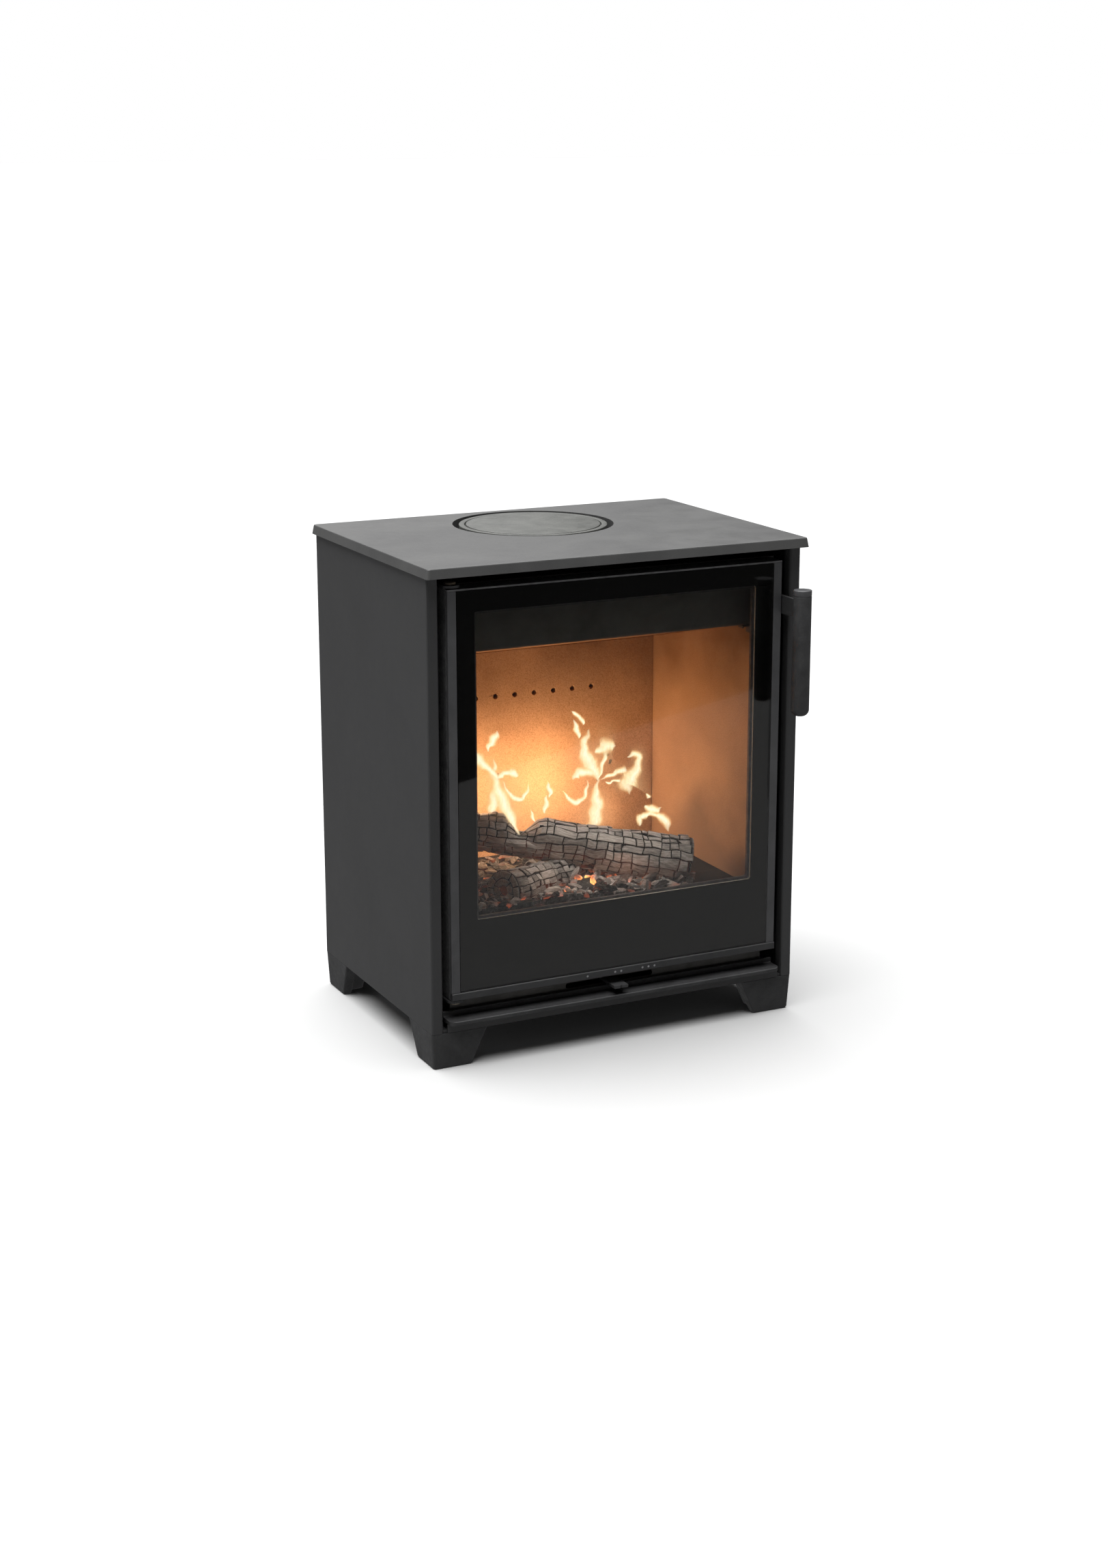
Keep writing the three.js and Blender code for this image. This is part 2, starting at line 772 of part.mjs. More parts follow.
// Welded box of flat plates, open at the front; its side plates carry the hearth plate on ledges.
function fireboxPlates() {
  const across = [-fireboxInner + seatGap, fireboxInner - seatGap];
  const deep = [fireboxFront, fireboxBackInner - seatGap];
  fireboxSidePlate('firebox_side_left', -1, deep);
  fireboxSidePlate('firebox_side_right', 1, deep);
  const roof = block(across, deep, [fireboxRoof, fireboxTop]);
  const topOutlet = rod('z', [0, lidCentreDepth], flueRadius, [fireboxRoof - 1, fireboxTop + 1], 48);
  add('firebox_roof', roof.subtract(topOutlet), 'paintedSteel');
  let back = block(across, [fireboxBackInner, fireboxBack], [fireboxBottom, fireboxTop]);
  const throughBack = [fireboxBackInner - 1, fireboxBack + 1];
  back = back.subtract(rod('y', [0, rearFlueHeight], flueRadius, throughBack, 48));
  backHoleCentres().forEach((centre) => {
    back = back.subtract(rod('y', centre, backHoleRadius + 1, throughBack, 12));
  });
  add('firebox_back', back, 'paintedSteel');
  let floor = block(across, deep, [fireboxBottom, fireboxFloor]);
  const runnerOuter = panHalfWidth - panRunnerInset;
  const runnerHeight = [fireboxFloor - 0.1, fireboxFloor + panRunner];
  [-1, 1].forEach((side) => {
    const runner = ordered(side * (runnerOuter - panRunnerWidth), side * runnerOuter);
    floor = floor.add(block(runner, [fireboxFront + 4, deep[1]], runnerHeight));
  });
  add('firebox_floor', cutPorts(floor, 0, [fireboxBottom - 1, fireboxFloor + 1]), 'paintedSteel');
}

function fireboxSidePlate(name, side, ledgeDeep) {
  const plateAcross = ordered(side * fireboxInner, side * fireboxHalf);
  const plate = block(plateAcross, [fireboxFront, fireboxBack], [fireboxBottom, fireboxTop]);
  const ledgeTop = hearthPlateBottom - seatGap;
  const ledge = ordered(side * (fireboxInner - hearthLedgeWidth), side * (fireboxInner + 0.1));
  add(name, plate.add(block(ledge, ledgeDeep, [ledgeTop - hearthLedgeThickness, ledgeTop])), 'paintedSteel');
}

function fireboxFrontFrame() {
  const top = doorTop + hingeTabGap - seatGap;
  const plate = block([-fireboxHalf, fireboxHalf], [frameFront, frameBack], [fireboxBottom, top]);
  const upright = [doorBottom + frameOpeningInset, doorTop - frameOpeningInset];
  const opening = rounded(rectangle([-frameOpeningHalf, frameOpeningHalf], upright), frameOpeningRadius);
  return plate.subtract(prism('y', opening, [frameFront - 1, frameBack + 1]));
}

function baffleUnderside(depth) {
  return baffleBackHeight + (backBrickFace - depth) * baffleSlope;
}

// The baffle rests on the sloping top edge; ahead of it the brick ends level.
function sideBrickSolid(side) {
  const back = fireboxBackInner - seatGap;
  const outline = [
    [fireboxFront + seatGap, hearthPlateTop + seatGap],
    [back, hearthPlateTop + seatGap],
    [back, baffleUnderside(back)],
    [sideBrickKnee, baffleUnderside(sideBrickKnee)],
    [fireboxFront + seatGap, baffleUnderside(sideBrickKnee)],
  ];
  return prism('x', outline, ordered(side * brickFace, side * (brickFace + sideBrick)));
}

function backBrickSolid() {
  const back = fireboxBackInner - seatGap;
  const outline = [
    [backBrickFace, hearthPlateTop + seatGap],
    [back, hearthPlateTop + seatGap],
    [back, baffleUnderside(back)],
    [backBrickFace, baffleUnderside(backBrickFace)],
  ];
  let brick = prism('x', outline, [-brickFace + seatGap, brickFace - seatGap]);
  backHoleCentres().forEach((centre) => {
    brick = brick.subtract(rod('y', centre, backHoleRadius, [backBrickFace - 1, back + 1], 12));
  });
  return brick;
}

function hearthBricks() {
  const half = brickFace - seatGap;
  const grateHalf = grateLength / 2 + seatGap;
  const height = [hearthPlateTop + seatGap, hearthHeight];
  const grateBack = grateDepth + grateWidth + seatGap;
  const rear = backBrickFace - seatGap;
  const join = seatGap / 2;
  const ahead = [hearthFrontEdge, grateDepth - seatGap];
  add('hearth_brick_front', block([-half, half], ahead, height), 'fireBrick');
  add('hearth_brick_rear', block([-half, half], [grateBack, rear], height), 'fireBrick');
  const middle = [grateDepth - seatGap + 2 * join, grateBack - 2 * join];
  add('hearth_brick_left', block([-half, -grateHalf], middle, height), 'fireBrick');
  add('hearth_brick_right', block([grateHalf, half], middle, height), 'fireBrick');
}

function grateSolid() {
  const half = grateLength / 2;
  const back = grateDepth + grateWidth;
  const low = hearthPlateTop + seatGap;
  const high = hearthHeight - grateDrop;
  const rim = block([-half, half], [grateDepth, back], [low, high]);
  const under = block(
    [-half + grateRim, half - grateRim],
    [grateDepth + grateRim, back - grateRim],
    [low - 1, high - grateTop],
  );
  let grate = rim.subtract(under);
  const pitch = grateSlot + grateBar;
  const count = Math.floor((grateLength - 2 * grateRim + grateBar) / pitch);
  const slotDepth = [grateDepth + grateRim, back - grateRim];
  for (let i = 0; i < count; i += 1) {
    const x = (i - (count - 1) / 2) * pitch;
    const sides = rectangle([x - grateSlot / 2, x + grateSlot / 2], slotDepth);
    grate = grate.subtract(prism('z', rounded(sides, grateSlot / 2 - 0.01, 3), [low, high + 1]));
  }
  return grate;
}

// Steel floor of the fire chamber, with its front edge turned up to hold the bricks and embers.
function hearthPlateSolid() {
  const back = fireboxBackInner - seatGap;
  const half = fireboxInner - seatGap;
  const floor = block([-half, half], [fireboxFront + seatGap, back], [hearthPlateBottom, hearthPlateTop]);
  const flange = block(
    [-brickFace + seatGap, brickFace - seatGap],
    [hearthFlangeDepth, hearthFlangeDepth + hearthPlate],
    [hearthPlateBottom, hearthPlateTop + hearthFlangeHeight],
  );
  const openHalf = grateLength / 2 - grateRim;
  const open = block(
    [-openHalf, openHalf],
    [grateDepth + grateRim, grateDepth + grateWidth - grateRim],
    [hearthPlateBottom - 1, hearthPlateTop + 1],
  );
  return floor.add(flange).subtract(open);
}

function baffleSolid() {
  const back = fireboxBackInner - baffleBackGap;
  const lift = seatGap * Math.hypot(1, baffleSlope);
  const outline = [
    [back, baffleUnderside(back) + lift],
    [back, baffleUnderside(back) + lift + baffleThickness],
    [baffleFrontDepth, baffleUnderside(baffleFrontDepth) + lift + baffleThickness],
    [baffleFrontDepth, baffleUnderside(baffleFrontDepth) + lift],
  ];
  return prism('x', outline, [-fireboxInner + 1, fireboxInner - 1]);
}

// Folded guide that turns the washing air down over the glass.
function airWashDeflector() {
  const roof = fireboxRoof - seatGap;
  const path = [
    [deflectorDepth + deflectorFoot, roof],
    [deflectorDepth, roof],
    [deflectorDepth, deflectorHeight],
    [deflectorDepth + deflectorFoot, deflectorHeight + deflectorHem],
  ];
  const section = foldedSheet(path, deflectorSheet, 4);
  return prism('x', section, [-deflectorHalfWidth, deflectorHalfWidth]);
}

function ashPan() {
  const low = fireboxFloor + panRunner + seatGap;
  const back = panFront + panLength;
  const shell = block([-panHalfWidth, panHalfWidth], [panFront, back], [low, low + panHeight]);
  const hollow = block(
    [-panHalfWidth + panSheet, panHalfWidth - panSheet],
    [panFront + panSheet, back - panSheet],
    [low + panSheet, low + panHeight + 1],
  );
  const pullCentre = [0, low + panHeight - panPullHoleDrop];
  const pullHole = rod('y', pullCentre, panPullHole, [panFront - 1, panFront + panSheet + 1], 24);
  return shell.subtract(hollow).subtract(pullHole);
}

// Dished cap over the unused rear outlet.
function rearOutletCover() {
  const flange = 3;
  const domeFoot = flueRadius - 8;
  const profile = [
    [0, 0],
    [collarFlange, 0],
    [collarFlange, flange],
    [domeFoot, flange],
    [domeFoot - 4, flange + 4],
    [0, flange + 4],
  ];
  const cover = add('rear_outlet_cover', turned(profile), 'castDark');
  cover.position.set(0, atDepth(fireboxBack + seatGap), rearFlueHeight);
  cover.rotation.x = -Math.PI / 2;
}

function flueCollar() {
  const outer = flueRadius + collarWall;
  const base = fireboxTop + seatGap;
  const profile = closedProfile([
    [flueRadius, base],
    [collarFlange, base],
    [collarFlange, base + collarFlangeThickness],
    [outer + 2, base + collarFlangeThickness],
    [outer, base + collarFlangeThickness + 2],
    [outer, lidSeatZ - seatGap],
    [flueRadius, lidSeatZ - seatGap],
  ]);
  const collar = add('flue_collar', turned(profile), 'castDark');
  collar.position.y = atDepth(lidCentreDepth);
}

function firebox() {
  fireboxPlates();
  add('firebox_front_frame', fireboxFrontFrame(), 'paintedSteel');
  add('hearth_plate', hearthPlateSolid(), 'bareSteel');
  add('brick_left', sideBrickSolid(-1), 'fireBrick');
  add('brick_right', sideBrickSolid(1), 'fireBrick');
  add('brick_back', backBrickSolid(), 'fireBrick');
  hearthBricks();
  add('grate', grateSolid(), 'castDark');
  add('baffle_plate', baffleSolid(), 'fireBrick');
  add('air_wash_deflector', airWashDeflector(), 'paintedSteel');
  add('ash_pan', ashPan(), 'bareSteel');
  rearOutletCover();
  flueCollar();
}

// ---------------------------------------------------------------- fire laid on the hearth

function onHearth([acrossShare, deepShare, height]) {
  const depth = hearthFrontEdge + deepShare * (backBrickFace - hearthFrontEdge);
  return new THREE.Vector3(acrossShare * brickFace, atDepth(depth), hearthHeight + height);
}

// Charred log with round sections that wander in size; growth makes the seat that another piece has for it.
function logSolid({ from, to, radii, turn }, growth = 0) {
  const start = onHearth(from);
  const along = onHearth(to).sub(start);
  const length = along.length();
  const sections = Array.from({ length: logStations + 1 }, (_, station) => {
    const share = station / logStations;
    const isEnd = station === 0 || station === logStations;
    const swell = (1 + logWander * Math.sin(9 * share + turn)) * (isEnd ? logEndRound : 1);
    const outline = Array.from({ length: logSides }, (_, side) => {
      const angle = (side / logSides) * 2 * Math.PI;
      const lobes = 1 + logWander * Math.sin(3 * angle + turn + 2 * share);
      const radius = THREE.MathUtils.lerp(...radii, share) * swell * lobes + growth;
      return [radius * Math.cos(angle), radius * logFlatness * Math.sin(angle)];
    });
    return { outline, z: share * (length + 2 * growth) - growth };
  });
  const forward = along.normalize();
  const sideways = new THREE.Vector3(0, 0, 1).cross(forward).normalize();
  const upward = forward.clone().cross(sideways);
  const place = new THREE.Matrix4().makeBasis(sideways, upward, forward).setPosition(start);
  return solidOf(loftGeometry(sections).applyMatrix4(place));
}

// Burnt V in the top of the rear log, where a flame rises.
function logNotchSolid() {
  const { x, z } = onHearth(logNotch.at);
  const high = z + logNotch.height;
  const outline = [[x, z], [x + logNotch.halfWidth, high], [x - logNotch.halfWidth, high]];
  return prism('y', outline, [hearthFrontEdge, backBrickFace]);
}

// Mound of embers and ash: a lumpy top over a flat underside, drawn on one grid.
function emberMound() {
  const [columns, rows] = emberCells;
  const positions = [];
  [0, 1].forEach((level) => {
    for (let row = 0; row <= rows; row += 1) {
      for (let column = 0; column <= columns; column += 1) {
        const u = column / columns;
        const v = row / rows;
        const fall = (1 - u ** 4) * (1 - v ** 2);
        const lumps = emberLumps * Math.sin(11 * u + 5 * v) * Math.sin(17 * v - 6 * u + 1);
        const height = seatGap + level * (2 + Math.max(0, emberHeight * fall + lumps * (1 - v)));
        const across = THREE.MathUtils.lerp(...emberSpan.across, u);
        const deep = THREE.MathUtils.lerp(...emberSpan.deep, v);
        positions.push(...onHearth([across, deep, height]).toArray());
      }
    }
  });
  const width = columns + 1;
  const topStart = width * (rows + 1);
  const index = [];
  for (let row = 0; row < rows; row += 1) {
    for (let column = 0; column < columns; column += 1) {
      const a = row * width + column;
      const [b, c, d] = [a + 1, a + width + 1, a + width];
      index.push(a, c, b, a, d, c);
      index.push(...[a, b, c, a, c, d].map((corner) => corner + topStart));
    }
  }
  const rim = [
    ...Array.from({ length: columns }, (_, i) => i),
    ...Array.from({ length: rows }, (_, i) => columns + i * width),
    ...Array.from({ length: columns }, (_, i) => topStart - 1 - i),
    ...Array.from({ length: rows }, (_, i) => (rows - i) * width),
  ];
  rim.forEach((corner, i) => {
    const next = rim[(i + 1) % rim.length];
    index.push(corner, next, next + topStart, corner, next + topStart, corner + topStart);
  });
  const geometry = new THREE.BufferGeometry();
  geometry.setAttribute('position', new THREE.Float32BufferAttribute(positions, 3));
  geometry.setIndex(index);
  return solidOf(geometry);
}

// The rear log rests on the hearth, the front log's end and the prop; all three bed down in the embers.
function fire() {
  const half = brickFace - seatGap;
  const chamber = block(
    [-half, half],
    [hearthFrontEdge, backBrickFace - seatGap],
    [hearthHeight + seatGap, baffleBackHeight],
  );
  const rearSeat = logSolid(rearLog, seatGap);
  const seats = [rearSeat, logSolid(frontLog, seatGap), logSolid(propLog, seatGap)];
  add('log_rear', logSolid(rearLog).intersect(chamber).subtract(logNotchSolid()), 'charredWood');
  add('log_front', logSolid(frontLog).intersect(chamber).subtract(rearSeat), 'charredWood');
  add('log_prop', logSolid(propLog).intersect(chamber).subtract(rearSeat), 'charredWood');
  const bed = seats.reduce((mound, seat) => mound.subtract(seat), emberMound());
  add('ember_bed', bed, 'charredWood');
}

// ---------------------------------------------------------------- lift-off hot plate

function lid() {
  const group = pivotAt(0, atDepth(lidCentreDepth), lidSeatZ);
  const recess = lidDiscRadius + lidGroove;
  const bore = recess - lidLedge;
  const spigot = flueRadius - lidSpigotGap;
  const edge = 1;
  const ledgeHeight = lidThickness - lidDiscThickness;
  const ring = closedProfile([
    [bore, 0],
    [spigot - lidSpigotWall, 0],
    [spigot - lidSpigotWall, -lidSpigotLength],
    [spigot, -lidSpigotLength],
    [spigot, 0],
    [lidRadius - edge, 0],
    [lidRadius, edge],
    [lidRadius, lidThickness - edge],
    [lidRadius - edge, lidThickness],
    [recess + 0.6, lidThickness],
    [recess, lidThickness - 0.6],
    [recess, ledgeHeight],
    [bore, ledgeHeight],
  ]);
  const discLow = ledgeHeight + seatGap;
  const discHigh = lidThickness + seatGap;
  const disc = [
    [0, discLow],
    [lidDiscRadius, discLow],
    [lidDiscRadius, discHigh - 0.9],
    [lidDiscRadius - 0.9, discHigh],
    [0, discHigh],
  ];
  add('lid_ring', turned(ring), 'castLid', group);
  add('lid_disc', turned(disc), 'castLid', group);
}

// ---------------------------------------------------------------- door

function insetRectangle(inset, radius) {
  const sides = rectangle([-doorHalf + inset, doorHalf - inset], [doorBottom + inset, doorTop - inset]);
  return radius ? rounded(sides, radius) : sides;
}

function doorFrame() {
  const across = [-doorHalf, doorHalf];
  let frame = block(across, [doorBodyFront, doorThickness], [doorBottom, doorTop]);
  frame = frame.add(block(across, [0, doorBodyFront + 0.1], [doorTop - doorTopLip, doorTop]));
  const bedHalf = glassHalf + seatGap;
  const bed = rectangle([-bedHalf, bedHalf], [glassBottom - seatGap, glassTop + seatGap]);
  frame = frame.subtract(prism('y', bed, [doorBodyFront - 1, webFront]));
  const opening = rounded(
    rectangle(
      [-windowHalf + frameRevealStep, windowHalf - frameRevealStep],
      [windowBottom + frameRevealStep, windowTop - frameRevealStep],
    ),
    windowCornerRadius,
  );
  frame = frame.subtract(prism('y', opening, [0, doorThickness + 1]));
  const pocketInset = ropeInset + ropeWidth + doorRearRib;
  frame = frame.subtract(prism('y', insetRectangle(pocketInset, 6), [webBack, doorThickness + 1]));
  const grooveSpan = [doorThickness - grooveDepth, doorThickness + 1];
  const groove = prism('y', insetRectangle(ropeInset, 12), grooveSpan)
    .subtract(prism('y', insetRectangle(ropeInset + ropeWidth, 4), [grooveSpan[0] - 1, grooveSpan[1] + 1]));
  frame = frame.subtract(groove);
  const bore = hingePinRadius + runningGap;
  const hinge = [hingeX, hingeDepth];
  frame = frame.subtract(rod('z', hinge, bore, [doorTop - hingeBoreDepth, doorTop + 1], 24));
  frame = frame.subtract(rod('z', hinge, bore, [doorBottom - 1, doorBottom + hingeBoreDepth], 24));
  const pivot = [leverPivotDepth, leverPivotZ];
  const pivotSpan = [doorHalf - hingeBoreDepth, doorHalf + 1];
  return frame.subtract(rod('x', pivot, leverPinRadius + seatGap, pivotSpan, 24));
}

function doorStrip(side) {
  const across = ordered(side * (glassHalf + seatGap), side * doorHalf);
  const section = rounded(rectangle(across, [0, stripThickness]), 0.8, 2);
  return prism('z', section, [glassBottom, glassTop]);
}

// Marks for the air lever: one, two and three dots along the bar over its slot.
function dotPlaces() {
  return [1, 2, 3].flatMap((count, k) => {
    const centre = (k - 1) * leverTravel;
    return Array.from({ length: count }, (_, i) => centre + (i - (count - 1) / 2) * dotPitch);
  });
}

function doorBottomBar() {
  const high = doorBottom + bottomBarHeight;
  const section = rounded(
    rectangle([-bottomBarProud, stripThickness], [doorBottom, high]),
    [0.8, 0.3, 0.3, 1.2],
    3,
  );
  const dotHeight = doorBottom + 0.44 * bottomBarHeight;
  const dotSpan = [-bottomBarProud - 1, -bottomBarProud + dotSink];
  let bar = prism('x', section, [-doorHalf, doorHalf]);
  dotPlaces().forEach((x) => {
    bar = bar.subtract(rod('y', [x, dotHeight], dotRadius, dotSpan, 12));
  });
  return bar;
}

function glassPane() {
  const outline = rounded(rectangle([-glassHalf, glassHalf], [glassBottom, glassTop]), 1.5, 2);
  return prism('y', outline, [0, glassThickness]);
}

function tapeRing() {
  const inner = rectangle([-windowHalf, windowHalf], [windowBottom, windowTop]);
  const outer = rectangle(
    [-windowHalf - glassTapeWidth, windowHalf + glassTapeWidth],
    [windowBottom - glassTapeWidth, windowTop + glassTapeWidth],
  );
  const span = [glassThickness + seatGap, glassThickness + seatGap + glassTape];
  const opening = prism('y', rounded(inner, windowCornerRadius), [span[0] - 1, span[1] + 1]);
  return prism('y', rounded(outer, windowCornerRadius + 4), span).subtract(opening);
}

function ropeSeal() {
  const span = [doorThickness - grooveDepth + seatGap, frameFront - seatGap];
  const outer = prism('y', insetRectangle(ropeInset + seatGap, 11.7), span);
  const core = insetRectangle(ropeInset + ropeWidth - seatGap, 4.3);
  return outer.subtract(prism('y', core, [span[0] - 1, span[1] + 1]));
}

// Tab that reaches forward over or under the door's corner; a short leg hooks behind the front frame.
function hingeBracket(isUpper) {
  const away = isUpper ? 1 : -1;
  const face = isUpper ? doorTop + hingeTabGap : doorBottom - hingeTabGap;
  const far = face + away * hingeTab;
  const legEnd = isUpper ? fireboxTop + seatGap : face;
  const legDepth = frameBack + seatGap;
  const heights = [face, far].sort((a, b) => a - b);
  const across = [hingeX - hingeTabHalfWidth, hingeX + hingeTabHalfWidth];
  const noseDepth = hingeDepth - hingeTabHalfWidth;
  const plan = rounded(rectangle(across, [noseDepth, legDepth + hingeTab]), [9, 9, 0, 0], 6);
  let bracket = prism('z', plan, heights);
  if (isUpper) {
    bracket = bracket.add(block(across, [legDepth, legDepth + hingeTab], [legEnd, face + 0.1]));
  }
  const eyeSpan = [heights[0] - 1, heights[1] + 1];
  return bracket.subtract(rod('z', [hingeX, hingeDepth], hingePinRadius + seatGap, eyeSpan, 24));
}

// Shouldered pin: the head sits outside the tab, the collar carries the door on its inner side.
function hingePin(isUpper) {
  const head = hingePinRadius + 3;
  const headThickness = 2.5;
  const collar = hingePinRadius + 2;
  const chamfer = 0.8;
  const tabFar = hingeTabGap + hingeTab + seatGap;
  const tip = -(hingeBoreDepth - 1.5);
  const profile = [
    [0, tip],
    [hingePinRadius - chamfer, tip],
    [hingePinRadius, tip + chamfer],
    [hingePinRadius, seatGap],
    [collar, seatGap],
    [collar, hingeTabGap - seatGap],
    [hingePinRadius, hingeTabGap - seatGap],
    [hingePinRadius, tabFar],
    [head, tabFar],
    [head, tabFar + headThickness],
    [0, tabFar + headThickness],
  ];
  const mesh = add(isUpper ? 'hinge_pin_upper' : 'hinge_pin_lower', turned(profile, 16), 'bareSteel');
  mesh.position.set(hingeX, atDepth(hingeDepth), isUpper ? doorTop : doorBottom);
  mesh.rotation.x = isUpper ? 0 : Math.PI;
}

// Plate on the front frame with the pin that the lever's tooth catches behind.
function latchKeeper() {
  const plateX = leverX + leverThickness + 0.9;
  const pinZ = leverPivotZ + keeperPinLift;
  const back = frameFront - seatGap;
  const cheek = rounded(
    [
      [keeperDepth - keeperCheek, pinZ - keeperDrop],
      [back, pinZ - keeperDrop],
      [back, pinZ + keeperRise],
      [keeperDepth - 1, pinZ + keeperRise],
      [keeperDepth - keeperCheek, pinZ + keeperCheek],
    ],
    [4, 0, 0, 2, 2],
    3,
  );
  const plate = prism('x', cheek, [plateX, plateX + keeperPlate]);
  const footFlange = block(
    [leverX - 0.5, plateX + keeperPlate],
    [back - keeperFoot, back],
    [pinZ + keeperFootLift, pinZ + keeperRise],
  );
  const pin = rod('x', [keeperDepth, pinZ], keeperPinRadius, [leverX - 0.3, plateX + 0.1], 20);
  return plate.add(footFlange).add(pin);
}

function door() {
  const group = pivotAt(hingeX, atDepth(hingeDepth), 0);
  attach(group, 'door_frame', doorFrame(), 'castDark');
  attach(group, 'door_strip_left', doorStrip(-1), 'trimSteel');
  attach(group, 'door_strip_right', doorStrip(1), 'trimSteel');
  attach(group, 'door_bottom_bar', doorBottomBar(), 'trimSteel');
  attach(group, 'door_glass', glassPane(), 'ceramicGlass');
  attach(group, 'glass_tape', tapeRing(), 'glassRope');
  attach(group, 'door_rope_seal', ropeSeal(), 'glassRope');
  handle(group);
  add('hinge_bracket_upper', hingeBracket(true), 'paintedSteel');
  add('hinge_bracket_lower', hingeBracket(false), 'paintedSteel');
  hingePin(true);
  hingePin(false);
  add('latch_keeper', latchKeeper(), 'bareSteel');
}

// ---------------------------------------------------------------- handle

// Flat lever beside the door: grip arm in front, pivot eye, and a tooth behind the keeper pin.
function handleLever() {
  const low = leverPivotZ - leverHeight / 2;
  const high = leverPivotZ + leverHeight / 2;
  const front = -gripStandoff + gripRadius + seatGap;
  const armTop = leverPivotZ + keeperPinLift - keeperPinRadius - 0.6;
  const toothFront = keeperDepth + keeperPinRadius + 0.4;
  const toothBack = toothFront + toothThickness;
  const armFront = keeperDepth - keeperPinRadius - 2.6;
  const outline = rounded(
    [
      [front, low],
      [toothBack - 3, low],
      [toothBack, low + 3],
      [toothBack, armTop + toothHeight],
      [toothFront, armTop + toothHeight],
      [toothFront, armTop],
      [armFront, armTop],
      [armFront - 0.5, high],
      [front, high],
    ],
    [0, 1, 1, 1, 0.8, 0.5, 1, 4, 0],
    3,
  );
  const eyeSpan = [leverX - 1, leverX + leverThickness + 1];
  const eye = rod('x', [leverPivotDepth, leverPivotZ], leverPinRadius + seatGap, eyeSpan, 24);
  return prism('x', outline, [leverX, leverX + leverThickness]).subtract(eye);
}

function gripProfiles() {
  const capLow = -gripCapHeight;
  const end = -gripLength;
  const arc = Array.from({ length: 6 }, (_, i) => {
    const turn = (i / 5) * (Math.PI / 2);
    return [
      gripRadius - gripEndRound * (1 - Math.sin(turn)),
      end + gripEndRound * (1 - Math.cos(turn)),
    ];
  });
  const grip = [
    [0, end],
    ...arc,
    [gripRadius, capLow - gripCapGroove - 0.5],
    [gripRadius - 0.5, capLow - gripCapGroove],
    [0, capLow - gripCapGroove],
  ];
  const cap = [
    [0, capLow - gripCapGroove + seatGap],
    [gripRadius - 0.5, capLow - gripCapGroove + seatGap],
    [gripRadius, capLow],
    [gripRadius, -1.2],
    [gripRadius - 0.35, -0.35],
    [gripRadius - 1.2, 0],
    [0, 0],
  ];
  return { grip, cap };
}

function handle(doorGroup) {
  const group = pivotAt(-hingeX + leverMiddleX, leverPivotDepth - hingeDepth, leverPivotZ, doorGroup);
  attach(group, 'handle_lever', handleLever(), 'paintedSteel');
  const bar = new THREE.Group();
  bar.position.set(0, -gripStandoff - leverPivotDepth, gripTop - leverPivotZ);
  group.add(bar);
  const { grip, cap } = gripProfiles();
  add('handle_grip', turned(grip, 32), 'castDark', bar);
  add('handle_cap', turned(cap, 32), 'trimSteel', bar);
  const pinTip = hingeBoreDepth - 1;
  const headFrom = leverGap + leverThickness + seatGap;
  const pin = turned(
    [
      [0, -pinTip],
      [leverPinRadius, -pinTip],
      [leverPinRadius, headFrom],
      [leverPinRadius + 2, headFrom],
      [leverPinRadius + 2, headFrom + 1.6],
      [leverPinRadius + 1, headFrom + 2.4],
      [0, headFrom + 2.4],
    ],
    24,
  );
  const mesh = add('handle_pivot_pin', pin, 'bareSteel', doorGroup);
  mesh.position.set(doorHalf - hingeX, leverPivotDepth - hingeDepth, leverPivotZ);
  mesh.rotation.y = Math.PI / 2;
}

casing();
airSupply();
firebox();
fire();
lid();
door();

export default stove;
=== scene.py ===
# A freestanding wood stove with a burning fire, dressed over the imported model.
# Metres, X to the right, Y to the back, Z up.
import bmesh
import bpy
import math
import random
from mathutils import Matrix, Vector, noise


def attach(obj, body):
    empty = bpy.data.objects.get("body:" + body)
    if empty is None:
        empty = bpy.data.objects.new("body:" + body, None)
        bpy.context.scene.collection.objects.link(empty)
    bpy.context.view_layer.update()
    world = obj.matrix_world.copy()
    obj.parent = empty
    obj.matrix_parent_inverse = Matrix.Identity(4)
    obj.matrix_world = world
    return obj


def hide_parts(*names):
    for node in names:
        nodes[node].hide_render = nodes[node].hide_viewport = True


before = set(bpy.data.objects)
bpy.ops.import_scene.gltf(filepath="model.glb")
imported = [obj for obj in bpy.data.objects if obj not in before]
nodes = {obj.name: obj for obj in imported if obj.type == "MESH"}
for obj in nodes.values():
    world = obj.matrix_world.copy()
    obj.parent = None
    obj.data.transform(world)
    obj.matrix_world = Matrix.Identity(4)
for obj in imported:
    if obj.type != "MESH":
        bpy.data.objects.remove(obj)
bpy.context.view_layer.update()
print("frame loaded:", len(nodes), "nodes")


